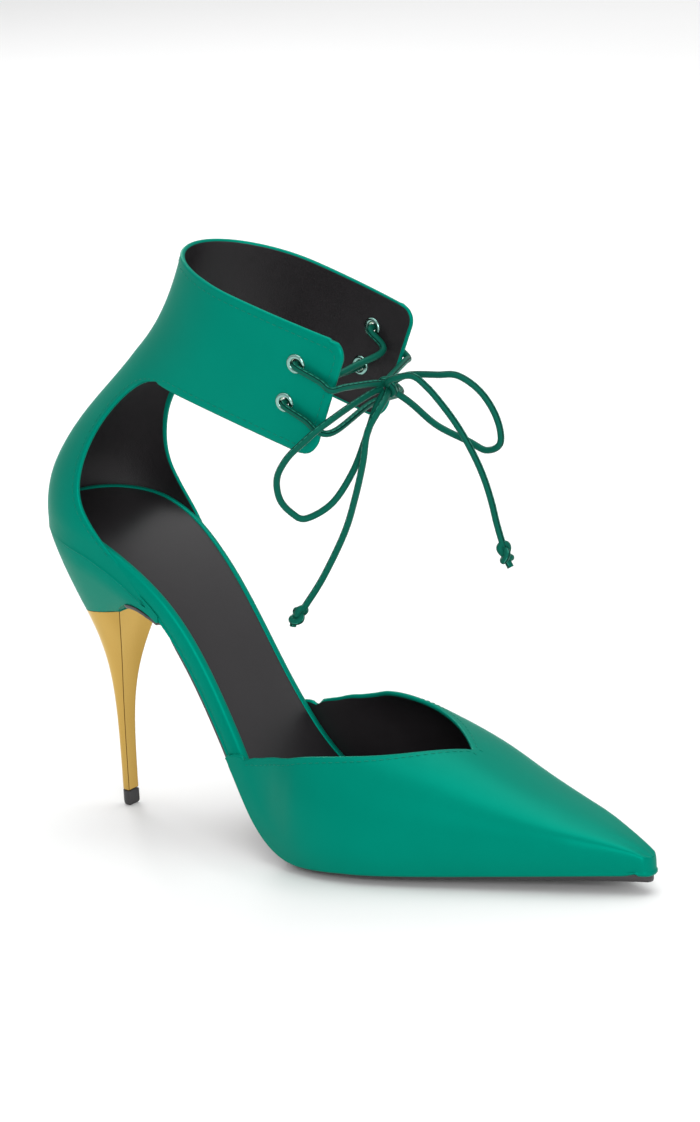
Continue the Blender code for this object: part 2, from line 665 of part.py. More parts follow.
def eyelet_places():
    """Centre, outward direction and name of each eyelet on the cuff's outer skin."""
    places = []
    for side, side_name in ((-1, "lateral"), (1, "medial")):
        for up, level_name in zip(EYELET_LEVELS, ("lower", "upper")):
            middle = (WALL_IN + WALL_OUT) / 2
            end = cuff_point(up, 1.0, side, middle, False)
            start = cuff_point(up, 0.0, side, middle, False)
            share = 1 - EYELET_SETBACK / (end.x - start.x)
            centre = cuff_point(up, share, side, middle, False)
            ahead = cuff_point(up, share + 0.02, side, middle, False) - centre
            above = cuff_point(up + 0.02, share, side, middle, False) - centre
            out = ahead.cross(above).normalized()
            if out.y * side < 0:
                out.negate()
            places.append((f"eyelet_{side_name}_{level_name}", centre, out))
    return places


def turned(profile, centre, axis, sides, name, finish):
    """Ring turned from a closed profile of (radius, height) pairs about an axis."""
    turn = Vector((0, 0, 1)).rotation_difference(axis).to_matrix()
    sections = []
    for i in range(sides):
        angle = 2 * math.pi * i / sides
        sections.append([centre + turn @ Vector((r * math.cos(angle), r * math.sin(angle), h))
                         for r, h in profile])
    size = len(profile)
    verts, faces = solid_from_sections(sections, cap_ends=False)
    start = (sides - 1) * size
    faces += [(start + j, start + (j + 1) % size, (j + 1) % size, j) for j in range(size)]
    return add_object(name, verts, faces, finish)


def eyelet(name, centre, out, finish):
    """Metal eyelet: a barrel through the cuff with a lip on each face."""
    half = (WALL_OUT - WALL_IN) / 2 + GAP
    lip = half + EYELET_LIP
    rim = half + EYELET_ROLL
    crown = (EYELET_HOLE + EYELET_BARREL) / 2
    profile = [(EYELET_HOLE, -lip), (EYELET_HOLE, lip), (crown, lip + EYELET_ROLL), (EYELET_FLANGE, rim),
               (EYELET_FLANGE, half), (EYELET_BARREL, half), (EYELET_BARREL, -half), (EYELET_FLANGE, -half),
               (EYELET_FLANGE, -rim)]
    return turned(profile, centre, out, 16, name, finish)


def lace_tube(name, points, finish):
    """Solid run of lace with round sections and closed ends."""
    sections = []
    side = None
    for i, place in enumerate(points):
        run = (points[min(i + 1, len(points) - 1)] - points[max(i - 1, 0)]).normalized()
        side = run.cross(Vector((0, 0, 1))) if side is None else side - run * side.dot(run)
        side.normalize()
        up = side.cross(run)
        sections.append([place + LACE_RADIUS * (side * math.cos(a) + up * math.sin(a))
                         for a in (2 * math.pi * k / 8 for k in range(8))])
    verts, faces = solid_from_sections(sections)
    return add_object(name, verts, faces, finish)


def lace_crossings(finish):
    """Outer bar between the lower eyelets, and the two runs that cross inside the ankle."""
    places = {name: (centre, out) for name, centre, out in eyelet_places()}
    left, left_out = places["eyelet_lateral_lower"]
    right, right_out = places["eyelet_medial_lower"]
    clear = WALL_OUT + LACE_RADIUS + 2 * LACE_CLEAR
    level = EYELET_LEVELS[0]
    front = max(cuff_point(level, 1.0, side, WALL_OUT, False).x for side in (-1, 1))
    half = []
    for side, centre, out in ((-1, left, left_out), (1, right, right_out)):
        corner = cuff_point(level - 0.06, 1.0, side, clear, False)
        around = Vector((front + LACE_RADIUS + 3 * LACE_CLEAR, corner.y * CORNER_SHARE, corner.z - LACE_CLEAR))
        half.append([centre + out * LACE_REACH, cuff_point(level - 0.03, 0.92, side, clear, False),
                     corner + Vector((CORNER_AHEAD, 0, 0)), around])
    middle = Vector((front + BAR_AHEAD, 0.0, (left.z + right.z) / 2 - BAR_SAG))
    points = half[0] + [middle] + list(reversed(half[1]))
    lace_tube("lace_bar", smooth_route(points, LACE_STEP), finish)
    inner_reach = LACE_REACH - LACE_RADIUS
    cross = None
    for start, end in (("eyelet_lateral_lower", "eyelet_medial_upper"), ("eyelet_medial_lower", "eyelet_lateral_upper")):
        a, a_out = places[start]
        b, b_out = places[end]
        a = a - a_out * inner_reach
        b = b - b_out * inner_reach
        middle = (a + b) / 2 + Vector((CROSS_AHEAD, 0, 0))
        run = lace_tube("lace_cross", smooth_route([a, middle, b], RUN_STEP), finish)
        if cross:
            cut_or_join(cross, run, "UNION")
        else:
            cross = run
    return cross


def bow(finish):
    """Knot, loops, ends and the two runs from the upper eyelets to the knot."""
    places = {name: (centre, out) for name, centre, out in eyelet_places()}
    corners = [cuff_point(KNOT_LEVEL, 1.0, side, WALL_OUT, False) for side in (-1, 1)]
    knot = Vector((max(c.x for c in corners) + KNOT_AHEAD, 0.0, min(c.z for c in corners)))
    for name, rows in (("lace_loop_lateral", LOOP_LATERAL), ("lace_loop_medial", LOOP_MEDIAL),
                       ("lace_end_lateral", END_LATERAL), ("lace_end_medial", END_MEDIAL), ("lace_knot", KNOT)):
        step = BOW_STEP if name != "lace_knot" else KNOT_STEP
        cord(name, smooth_route([knot + Vector(row) * BOW_SIZE / 100 for row in rows], step), finish)
    clear = WALL_OUT + LACE_RADIUS + 2 * LACE_CLEAR
    for side, side_name in ((-1, "lateral"), (1, "medial")):
        centre, out = places[f"eyelet_{side_name}_upper"]
        corner = cuff_point(KNOT_LEVEL + RUN_RISE[side][1], 1.0, side, clear, False)
        level = KNOT_LEVEL + RUN_RISE[side][0]
        points = [centre + out * LACE_REACH, cuff_point(level, 0.93, side, clear, False),
                  corner + Vector((CORNER_AHEAD, 0, 0)),
                  Vector((corner.x + LACE_RADIUS + 3 * LACE_CLEAR, corner.y * CORNER_SHARE, corner.z))]
        points += [knot + Vector((x, side * y, z)) * BOW_SIZE / 100 for x, y, z in RUN_END]
        cord(f"lace_run_{side_name}", smooth_route(points, RUN_STEP), finish)


def upper(finish):
    """Vamp, edge strip, counter and cuff as one hollow wall, with holes for the eyelets."""
    inner_verts, _ = vamp_skin(WALL_IN)
    outer_verts, faces = vamp_skin(WALL_OUT)
    verts, faces = close_shell(outer_verts, inner_verts, faces)
    whole = add_object("upper", verts, faces, finish)
    inner_verts, _ = quarter_skin(WALL_IN)
    outer_verts, faces = quarter_skin(WALL_OUT)
    verts, faces = close_shell(outer_verts, inner_verts, faces)
    quarter = add_object("quarter", verts, faces, finish)
    for _, centre, out in eyelet_places():
        cut_or_join(quarter, drill(centre, out, EYELET_BARREL + GAP), "DIFFERENCE")
    cut_or_join(whole, edge_strip(finish), "UNION")
    cut_or_join(whole, quarter, "UNION")
    return whole


def drill(centre, axis, radius):
    """Round cutter across the cuff's wall."""
    turn = Vector((0, 0, 1)).rotation_difference(axis).to_matrix()
    sections = []
    for height in (-EYELET_FLANGE, EYELET_FLANGE):
        sections.append([centre + turn @ Vector((radius * math.cos(a), radius * math.sin(a), height))
                         for a in (2 * math.pi * i / 16 for i in range(16))])
    verts, faces = solid_from_sections(sections)
    return add_object("drill", verts, faces, None)


def stem_outline(turn, up):
    """Point (along, half width) of the stem's round back at a height share: turn 0 is its back."""
    back, front, half = (value(up) for value in stem_sizes)
    return STEM_REACH * (front - (front - back) * math.cos(turn)), STEM_HALF * half * math.sin(turn)


def stem_section(up):
    """D shaped section of the stem at a height share: flat in front, round behind."""
    points = []
    for i in range(-6, 7):
        x, y = stem_outline(abs(i) * math.pi / 12, up)
        points.append((x, y if i > 0 else -y))
    x, y = points[-1]
    points.append((x - STEM_HOLLOW * y, y * 0.45))
    points.append((x - STEM_HOLLOW * y, -y * 0.45))
    return points


def stem_height(up, x):
    """Height of a stem section's point: level at the floor end, tilted at the top."""
    return LIFT_HEIGHT + GAP + (STEM_TOP - LIFT_HEIGHT - GAP) * up + up * STEM_TILT * (x - STEM_MIDDLE)


def heel_stem(finish):
    """Metal stem with a flat front and a round back."""
    sections = []
    for up in (0.0, 0.2, 0.4, 0.52, 0.62, 0.71, 0.8, 0.87, 0.94, 1.0):
        sections.append([Vector((x - LENGTH / 2, y, stem_height(up, x))) for x, y in stem_section(up)])
    verts, faces = solid_from_sections(sections)
    return add_object("heel_stem", verts, faces, finish, 50)


def top_piece(finish):
    """Black lift under the stem, which stands on the floor."""
    sections = []
    for height in (0.0, LIFT_HEIGHT):
        sections.append([Vector((x - LENGTH / 2, y, height)) for x, y in stem_section(0.0)])
    verts, faces = solid_from_sections(sections)
    return add_object("top_piece", verts, faces, finish, 50)


def heel_block(finish):
    """Satin covered upper part of the heel, from the metal stem up to the seat."""
    rows = 7
    sections = []
    for r in range(rows + 1):
        section = [block_point(abs(k) / 6, r / rows, 1 if k > 0 else -1) for k in range(-6, 7)]
        sections.append([Vector((p.x - LENGTH / 2, p.y, p.z)) for p in section])
    verts = [p for section in sections for p in section]
    faces = []
    for r in range(rows):
        for j in range(13):
            k = (j + 1) % 13
            faces.append((r * 13 + j, r * 13 + k, (r + 1) * 13 + k, (r + 1) * 13 + j))
    for j in range(5):
        faces.append((j, j + 1, 11 - j, 12 - j))
    faces.append((5, 6, 7))
    faces.append(tuple(reversed(range(rows * 13, (rows + 1) * 13))))
    block = add_object("heel_block", verts, faces, finish)
    cut_or_join(block, flap_cutter(), "DIFFERENCE")
    return block


def flap_cutter():
    """Space of the outsole's end and everything below it, wider than the heel."""
    line = [(x, z + GAP) for x, z in flap_points()]
    line.append((FLAP_END - GAP, line[-1][1]))
    line.append((FLAP_END - GAP, CUTTER_HALF))
    line.append((FLAP_START + CUTTER_BEYOND, CUTTER_HALF))
    sections = [[Vector((x - LENGTH / 2, y, z)) for x, z in line] for y in (-CUTTER_HALF, CUTTER_HALF)]
    verts, faces = solid_from_sections(sections)
    return add_object("flap_cutter", verts, faces, None)


def sole_plate(finish):
    """Small bare metal plate across the waist, under the outsole."""
    length, width, thick = PLATE_SIZE
    nx, nz = square_to(PLATE_ALONG)
    lower = OUTSOLE_THICK + GAP
    up = Vector((nx, 0, nz))
    along = Vector((nz, 0, -nx))
    centre = place_at(PLATE_ALONG, 0.0, -lower - thick / 2)
    verts = []
    for z in (-1, 1):
        for x, y in ((-1, -1), (1, -1), (1, 1), (-1, 1)):
            verts.append(centre + along * (x * length / 2) + Vector((0, y * width / 2, 0)) + up * (z * thick / 2))
    faces = [(0, 3, 2, 1), (4, 5, 6, 7), (0, 1, 5, 4), (1, 2, 6, 5), (2, 3, 7, 6), (3, 0, 4, 7)]
    return add_object("sole_plate", verts, faces, finish)


def main():
    """Build every piece of the shoe."""
    for old in list(bpy.data.objects):
        bpy.data.objects.remove(old)
    satin = material("satin", SATIN, 0.42)
    leather = material("lining_leather", LEATHER, 0.5)
    sole = material("sole_leather", SOLE_LEATHER, 0.45)
    gold = material("polished_gold", GOLD, 0.12, 1.0)
    rubber = material("top_piece_rubber", RUBBER, 0.5)
    lace = material("lace_leather", LACE, 0.45)
    steel = material("eyelet_metal", STEEL, 0.2, 1.0)

    outsole(sole)
    sheet("insole_board", GAP, BOARD_TOP, 0.0, 0.0, TIP_CENTRE + 1, satin)
    sheet("insole_sock", BOARD_TOP + GAP, BOARD_TOP + GAP + SOCK_THICK, -SOCK_INSET, 0.0, SOCK_END, leather)
    upper(satin)
    heel_block(satin)
    heel_stem(gold)
    top_piece(rubber)
    sole_plate(gold)
    for name, centre, out in eyelet_places():
        eyelet(name, centre, out, steel)
    lace_crossings(lace)
    bow(lace)


main()
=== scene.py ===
"""Looks of a right lace up heel: green satin, black leather, a gold stem and a laced bow.

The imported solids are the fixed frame. The visible surfaces are drawn again here, from the same form of the
last, as finer walls with folded edges, linings and stitches.
"""
import logging
import math
from dataclasses import dataclass, field
from enum import Enum
from typing import Callable, Optional, Sequence, Union

import bmesh
import bpy
import numpy as np
from mathutils import Matrix, Vector
from mathutils.kdtree import KDTree


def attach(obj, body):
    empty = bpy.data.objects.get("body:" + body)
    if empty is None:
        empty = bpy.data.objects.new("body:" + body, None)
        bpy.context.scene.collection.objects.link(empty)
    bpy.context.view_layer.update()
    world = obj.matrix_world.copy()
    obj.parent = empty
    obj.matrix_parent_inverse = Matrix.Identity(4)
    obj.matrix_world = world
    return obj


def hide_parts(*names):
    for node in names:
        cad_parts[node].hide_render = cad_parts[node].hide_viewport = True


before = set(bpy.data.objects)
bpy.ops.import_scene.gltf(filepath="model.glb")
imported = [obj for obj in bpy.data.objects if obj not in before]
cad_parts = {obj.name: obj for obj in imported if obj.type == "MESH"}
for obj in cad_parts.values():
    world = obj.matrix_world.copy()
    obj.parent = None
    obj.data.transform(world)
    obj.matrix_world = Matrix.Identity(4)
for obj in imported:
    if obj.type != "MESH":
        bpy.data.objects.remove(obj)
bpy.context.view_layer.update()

MM = 0.001
log = logging.getLogger("lace_up_heel")

Face = tuple[int, ...]
Colour = tuple[float, float, float, float]
SIDE_NAMES = {-1: "lateral", 1: "medial"}


# Tables of the last's form, as in the source of the solids but for the starts of the wings

PROFILE = (
    # along, rise
    (0.000, 1.000), (0.040, 0.985), (0.081, 0.963), (0.117, 0.935), (0.157, 0.884), (0.202, 0.800),
    (0.238, 0.709), (0.273, 0.586), (0.305, 0.452), (0.336, 0.327), (0.368, 0.204), (0.408, 0.088),
    (0.453, 0.022), (0.493, 0.000), (0.538, 0.000), (0.583, 0.000), (0.640, 0.000), (0.740, 0.000),
    (0.850, 0.000), (1.000, 0.000),
)
OUTLINE = (
    # along, lateral, medial
    (-0.040, 0.678, 0.678), (0.060, 0.680, 0.678), (0.125, 0.682, 0.670), (0.161, 0.660, 0.632),
    (0.206, 0.602, 0.548), (0.251, 0.556, 0.480), (0.296, 0.550, 0.464), (0.341, 0.602, 0.492),
    (0.386, 0.722, 0.577), (0.430, 0.848, 0.708), (0.475, 0.944, 0.834), (0.529, 1.008, 0.946),
    (0.583, 0.995, 1.008), (0.637, 0.906, 0.974), (0.700, 0.765, 0.844), (0.762, 0.613, 0.688),
    (0.825, 0.462, 0.524), (0.888, 0.314, 0.352), (0.942, 0.170, 0.184), (0.979, 0.066, 0.066),
    (1.030, -0.060, -0.060),
)
RIDGE = (
    # along, ridge
    (0.300, 0.980), (0.400, 0.980), (0.500, 0.950), (0.547, 0.900), (0.592, 0.838), (0.632, 0.775),
    (0.672, 0.713), (0.708, 0.652), (0.749, 0.562), (0.794, 0.470), (0.839, 0.390), (0.883, 0.313),
    (0.928, 0.238), (0.964, 0.170), (0.985, 0.120), (1.000, 0.065), (1.040, 0.010),
)
TOPLINE = (
    # along, lateral, medial: the first rows give each wing the start of its own
    (0.3296, -1.00, -0.75), (0.332, -1.00, -0.42), (0.335, -1.00, -0.10), (0.339, -0.95, 0.02),
    (0.343, -0.85, 0.05), (0.3455, -0.70, 0.068), (0.3475, -0.42, 0.08), (0.350, -0.18, 0.095),
    (0.3535, -0.03, 0.117), (0.3585, 0.03, 0.145), (0.368, 0.08, 0.20), (0.386, 0.17, 0.30),
    (0.408, 0.255, 0.385), (0.453, 0.345, 0.51), (0.493, 0.40, 0.60), (0.538, 0.45, 0.65),
    (0.583, 0.52, 0.69), (0.632, 0.63, 0.775), (0.672, 0.79, 0.88), (0.708, 1.000, 1.000),
)
COUNTER = (
    # up, back, width, depth, cut
    (0.000, 0.000, 1.000, 1.00, 1.000), (0.083, 0.000, 1.018, 1.02, 0.790), (0.182, 0.012, 1.026, 1.04, 0.604),
    (0.300, 0.058, 1.004, 1.05, 0.469), (0.413, 0.158, 0.974, 1.05, 0.385), (0.530, 0.290, 0.947, 1.07, 0.323),
    (0.645, 0.447, 0.921, 1.12, 0.271), (0.760, 0.630, 0.900, 1.16, 0.240), (0.860, 0.790, 0.890, 1.21, 0.252),
    (0.930, 0.898, 0.887, 1.23, 0.285), (0.975, 0.964, 0.884, 1.245, 0.335), (1.000, 1.000, 0.882, 1.255, 0.415),
)
CUFF = (
    # up, lean, width
    (0.00, 0.00, 0.948), (0.05, 0.08, 0.952), (0.15, 0.235, 0.965), (0.32, 0.46, 0.985), (0.55, 0.69, 1.0),
    (0.75, 0.845, 1.0), (0.90, 0.945, 1.0), (0.97, 0.985, 1.0), (1.00, 1.00, 1.0),
)
STEM = (
    # up, back and front as shares of the stem's reach, half width as a share of its top's
    (0.00, 0.545, 0.683, 0.205), (0.20, 0.545, 0.686, 0.209), (0.40, 0.538, 0.700, 0.225),
    (0.55, 0.517, 0.731, 0.287), (0.68, 0.479, 0.783, 0.402), (0.80, 0.417, 0.852, 0.582),
    (0.90, 0.345, 0.924, 0.787), (1.00, 0.255, 1.000, 1.000),
)
FLAP = (
    # along, drop of the outsole's end under the bottom line, as a share of the flap's drop
    (0.128, 1.28), (0.143, 1.00), (0.160, 0.70), (0.180, 0.45), (0.200, 0.27), (0.220, 0.13), (0.238, 0.03),
    (0.256, 0.00), (0.278, 0.00), (0.300, 0.00),
)

# The bow's free routes, the same points as in the source: millimetres from the knot, forward, across, up
BOW_ROUTES = {
    "loop_lateral": (
        (-2.5, -1.6, -0.3), (-3.2, -5.0, -1.4), (-5.0, -13.0, -3.6), (-6.1, -22.0, -6.0), (-9.1, -26.0, -8.9),
        (-12.9, -28.0, -12.5), (-19.0, -28.5, -18.0), (-23.6, -28.0, -24.8), (-23.8, -27.0, -31.8),
        (-20.9, -25.0, -36.5), (-17.1, -23.0, -38.3), (-10.3, -18.0, -33.8), (-5.8, -12.2, -24.5),
        (-2.2, -9.0, -13.6), (-1.2, -5.0, -6.0), (-0.8, -1.6, -2.4),
    ),
    "loop_medial": (
        (1.6, 1.6, 1.9), (3.4, 3.8, 2.8), (7.4, 4.6, 3.7), (16.0, 5.0, 4.3), (23.2, 6.0, 4.4), (30.0, 8.0, -0.7),
        (34.7, 9.0, -8.8), (35.5, 9.0, -16.5), (30.5, 8.5, -19.2), (24.7, 7.5, -16.7), (14.6, 5.5, -12.2),
        (6.7, 4.4, -6.2), (3.4, 3.4, -3.6), (1.9, 1.6, -1.7),
    ),
    "end_lateral": (
        (1.9, -1.6, -1.7), (3.0, -5.4, -2.4), (3.2, -10.0, -5.4), (0.7, -12.5, -11.5), (-0.9, -13.6, -21.1),
        (-3.9, -14.4, -31.9), (-8.5, -15.0, -43.9), (-16.2, -17.0, -58.5), (-22.6, -18.5, -68.0),
        (-24.4, -19.0, -70.4),
    ),
    "end_medial": (
        (1.7, -1.6, 1.9), (4.2, -3.8, 3.6), (11.4, -2.5, 5.3), (16.0, -1.0, 1.8), (20.2, 0.0, -3.1),
        (23.8, 1.0, -8.2), (26.9, 1.8, -13.4), (30.4, 2.6, -20.5), (32.9, 3.2, -27.1), (34.7, 3.8, -34.4),
        (35.9, 4.2, -41.1), (37.8, 4.6, -48.9),
    ),
}
KNOT_ROUTE = (
    # forward, across, up
    (1.4, 0.0, 2.1), (0.0, 0.0, 2.5), (-1.8, 0.0, 1.8), (-2.5, 0.0, 0.0), (-1.8, 0.0, -1.8), (0.0, 0.0, -2.5),
    (1.4, 0.0, -2.1),
)


def curve_through(table: Sequence[Sequence[float]], column: int) -> Callable[[float], float]:
    """Smooth curve (cubic B-spline) through the rows of a table.

    Args:
        table: rows whose first column is the place.
        column: the column that holds the value.

    Returns:
        The value as a function of the place.
    """
    rows = np.array(table, dtype=float)[:, (0, column)]
    rows = np.vstack([2 * rows[0] - rows[1], rows, 2 * rows[-1] - rows[-2]])
    t = np.linspace(0, 1, 81)[:, None]
    weights = ((1 - t) ** 3, 3 * t ** 3 - 6 * t ** 2 + 4, -3 * t ** 3 + 3 * t ** 2 + 3 * t + 1, t ** 3)
    points = np.vstack([sum(w * rows[i + k] for k, w in enumerate(weights)) / 6 for i in range(len(rows) - 3)])
    places, values = points[:, 0].copy(), points[:, 1].copy()
    return lambda s: float(np.interp(s, places, values))


class Last:
    """Form of the last that the upper, the sole and the heel are drawn over."""

    length = 223 * MM
    heel_rise = 97 * MM
    outsole_thick = 2.0 * MM
    camber_rise = 1.6 * MM
    camber_flat = 0.3
    turn_up = 7 * MM
    turn_over = 6 * MM
    ball_half = 33.6 * MM
    seat_half = 22.8 * MM
    seat_depth = 22 * MM
    toe_spring = 3.8 * MM
    spring_start = 0.60
    spring_power = 1.25
    tip_radius = 2.2 * MM
    wall_in = 0.9 * MM
    wall_out = 2.4 * MM
    gap = 0.3 * MM

    def __init__(self) -> None:
        """Read the tables as smooth curves."""
        self.rise_share = curve_through(PROFILE, 1)
        self.width_share = {-1: curve_through(OUTLINE, 1), 1: curve_through(OUTLINE, 2)}
        self.heel_centre = self.wall_out + self.seat_depth
        self.tip_centre = self.length - self.tip_radius - self.wall_out

    def bottom(self, along: float) -> float:
        """Bottom line, which is the top of the outsole.

        Args:
            along: place along the shoe.

        Returns:
            Its height.
        """
        share = along / self.length
        spring = max(0.0, (share - self.spring_start) / (1 - self.spring_start)) ** self.spring_power
        return self.outsole_thick + self.heel_rise * self.rise_share(share) + self.toe_spring * spring

    def square_to(self, along: float) -> tuple[float, float]:
        """Direction square to the bottom line.

        Args:
            along: place along the shoe.

        Returns:
            Unit vector (x, z), pointing into the shoe.
        """
        step = 1.5 * MM
        slope = (self.bottom(along + step) - self.bottom(along - step)) / (2 * step)
        size = math.hypot(1, slope)
        return -slope / size, 1 / size

    def half_width(self, along: float, side: int, grow: float = 0.0) -> float:
        """Half width of the insole's outline, with its round ends.

        Args:
            along: place along the shoe.
            side: -1 lateral, 1 medial.
            grow: how far outside the outline.

        Returns:
            The half width.
        """
        width = self.ball_half * self.width_share[side](along / self.length) + grow
        if along < self.heel_centre:
            back = (self.heel_centre - along) / (self.seat_depth + grow)
            width *= math.sqrt(max(0.0, 1 - back * back))
        if along > self.tip_centre:
            radius = self.tip_radius + grow
            width = min(width, math.sqrt(max(0.0, radius ** 2 - (along - self.tip_centre) ** 2)))
        return width

    def stations(self, start: float, end: float, step: float, grow: float = 0.0) -> list[float]:
        """Places along the shoe.

        Args:
            start: first place.
            end: last place.
            step: spacing along the curved bottom line.
            grow: how far outside the insole's outline the places lie on the round ends.

        Returns:
            Places, close together on the round heel and toe.
        """
        places = []
        if start < self.heel_centre:
            reach = self.seat_depth + grow
            places += [self.heel_centre - reach * math.cos(math.radians(a)) for a in range(4, 88, 4)]
        place = max(start, self.heel_centre)
        while place < min(end, self.tip_centre) - 0.6 * step:
            places.append(place)
            place += step * self.square_to(place)[1]
        places.append(min(end, self.tip_centre))
        if end > self.tip_centre:
            reach = self.tip_radius + grow
            places += [self.tip_centre + reach * math.sin(math.radians(a)) for a in range(12, 86, 9)]
        return places

    def camber(self, along: float, across: float) -> float:
        """Curl of the bottom's edges, from the waist to the toe.

        Args:
            along: place along the shoe.
            across: place across it.

        Returns:
            Height over the bottom's middle.
        """
        edge = self.half_width(along, 1 if across > 0 else -1, self.wall_out)
        fade = min(1.0, max(0.0, (along / self.length - 0.40) / 0.18))
        share = min(1.0, abs(across) / max(edge, self.gap))
        return self.camber_rise * fade * max(0.0, (share - self.camber_flat) / (1 - self.camber_flat)) ** 2

    def place_at(self, along: float, across: float, height: float) -> Vector:
        """Place over the sole: square to the bottom line at first, then straight up.

        Args:
            along: place along the shoe.
            across: place across it.
            height: height over the sole.

        Returns:
            The world point.
        """
        nx, nz = self.square_to(along)
        rise = height + self.camber(along, across)
        square = rise
        if rise > self.turn_up:
            square = self.turn_up + self.turn_over * (1 - math.exp(-(rise - self.turn_up) / self.turn_over))
        level = self.bottom(along) + square * nz + rise - square
        return Vector((along + square * nx - self.length / 2, across, level))


def smooth_route(points: Sequence[Vector], step: float) -> list[Vector]:
    """Evenly spaced points on a smooth curve (Catmull-Rom) through chosen points.

    Args:
        points: the chosen points.
        step: spacing of the result.

    Returns:
        Points of the route.
    """
    nodes = [2 * points[0] - points[1]] + list(points) + [2 * points[-1] - points[-2]]
    fine = []
    for a, b, c, d in zip(nodes, nodes[1:], nodes[2:], nodes[3:]):
        for i in range(16):
            t = i / 16
            fine.append(0.5 * (2 * b + (c - a) * t + (2 * a - 5 * b + 4 * c - d) * t ** 2
                               + (3 * b - a - 3 * c + d) * t ** 3))
    fine.append(points[-1])
    lengths = np.concatenate([[0.0], np.cumsum([(q - p).length for p, q in zip(fine, fine[1:])])])
    even = np.linspace(0, lengths[-1], max(3, round(lengths[-1] / step) + 1))
    return [Vector([np.interp(e, lengths, [p[k] for p in fine]) for k in range(3)]) for e in even]


def inset_point(edge_to_inside: Sequence[Vector], distance: float) -> Vector:
    """Point a distance in from the edge, measured along the surface.

    Args:
        edge_to_inside: points of the surface from its edge inwards.
        distance: how far in.

    Returns:
        The point on the surface.
    """
    walked = 0.0
    for a, b in zip(edge_to_inside, edge_to_inside[1:]):
        span = (b - a).length
        if walked + span >= distance:
            return a.lerp(b, (distance - walked) / span)
        walked += span
    return edge_to_inside[-1]


class Skin(Enum):
    """Which side of a wall a face is on."""

    OUTER = 0
    INNER = 1
    RIM = 2


@dataclass
class Shape:
    """Points and faces of a mesh, with the kind of each face."""

    points: list[Vector] = field(default_factory=list)
    faces: list[Face] = field(default_factory=list)
    kinds: list[Skin] = field(default_factory=list)

    def add(self, points: Sequence[Vector], faces: Sequence[Face], kind: Skin = Skin.OUTER) -> None:
        """Append a patch.

        Args:
            points: its points.
            faces: its faces, counting from its own first point.
            kind: side of the wall that they are on.
        """
        start = len(self.points)
        self.points += list(points)
        self.faces += [tuple(start + i for i in face) for face in faces]
        self.kinds += [kind] * len(faces)


def folded_wall(outer: Sequence[Vector], inner: Sequence[Vector], faces: Sequence[Face],
                turns: int = 4) -> Shape:
    """Closed wall between two matching skins, with a round fold along every open edge.

    Args:
        outer: points of the outer skin.
        inner: the same points on the inner skin.
        faces: faces of the outer skin.
        turns: points round the fold.

    Returns:
        The closed shape.
    """
    shape = Shape()
    shape.add(list(outer) + list(inner), faces)
    count = len(outer)
    shape.faces += [tuple(i + count for i in reversed(face)) for face in faces]
    shape.kinds += [Skin.INNER] * len(faces)
    edges = {(a, b) for face in faces for a, b in zip(face, face[1:] + face[:1])}
    rim = [(a, b) for a, b in edges if (b, a) not in edges]
    follower = dict(rim)
    leader = {b: a for a, b in rim}
    middles: dict[int, list[Vector]] = {i: [] for i in follower}
    for face in faces:
        centre = sum((outer[i] for i in face), Vector()) / len(face)
        for i in face:
            if i in middles:
                middles[i].append(centre)
    arcs: dict[int, list[int]] = {}
    for i in follower:
        half = (outer[i] - inner[i]) / 2
        run = outer[follower[i]] - outer[leader[i]]
        away = outer[i] - sum(middles[i], Vector()) / len(middles[i])
        for axis in (half.normalized(), run.normalized()):
            away -= axis * away.dot(axis)
        away.normalize()
        arcs[i] = [i]
        for k in range(1, turns + 1):
            turn = math.pi * k / (turns + 1)
            arcs[i].append(len(shape.points))
            shape.points.append((outer[i] + inner[i]) / 2 + half * math.cos(turn)
                                + away * half.length * math.sin(turn))
        arcs[i].append(i + count)
    for a, b in rim:
        for k in range(turns + 1):
            shape.faces.append((arcs[b][k], arcs[a][k], arcs[a][k + 1], arcs[b][k + 1]))
            shape.kinds.append(Skin.RIM)
    return shape


def loft(sections: Sequence[Sequence[Vector]], caps: bool = True, closed: bool = False) -> Shape:
    """Surface through matching closed sections.

    Args:
        sections: rings of points.
        caps: whether the ends are filled.
        closed: whether the last section joins the first.

    Returns:
        The shape.
    """
    size = len(sections[0])
    shape = Shape()
    faces = []
    total = len(sections)
    for i in range(total if closed else total - 1):
        n = (i + 1) % total
        for j in range(size):
            k = (j + 1) % size
            faces.append((i * size + j, i * size + k, n * size + k, n * size + j))
    if caps and not closed:
        faces.append(tuple(reversed(range(size))))
        faces.append(tuple(range((total - 1) * size, total * size)))
    shape.add([point for section in sections for point in section], faces)
    return shape


def make_object(name: str, shape: Shape, materials: Sequence[bpy.types.Material],
                dress: Optional[Callable[[Skin], int]] = None, sharp: float = 40) -> bpy.types.Object:
    """Mesh object of a closed shape, with its faces pointing out.

    Args:
        name: name of the piece.
        shape: its points and faces.
        materials: its finishes.
        dress: which finish each kind of face takes; the first if left out.
        sharp: edges sharper than this many degrees stay crisp.

    Returns:
        The object.
    """
    mesh = bpy.data.meshes.new(name)
    mesh.from_pydata([tuple(p) for p in shape.points], [], shape.faces)
    for finish in materials:
        mesh.materials.append(finish)
    if dress:
        mesh.polygons.foreach_set("material_index", [dress(kind) for kind in shape.kinds])
    worked = bmesh.new()
    worked.from_mesh(mesh)
    bmesh.ops.remove_doubles(worked, verts=worked.verts, dist=0.002 * MM)
    bmesh.ops.recalc_face_normals(worked, faces=worked.faces)
    worked.to_mesh(mesh)
    worked.free()
    mesh.shade_smooth()
    mesh.set_sharp_from_angle(angle=math.radians(sharp))
    made = bpy.data.objects.new(name, mesh)
    bpy.context.collection.objects.link(made)
    return made


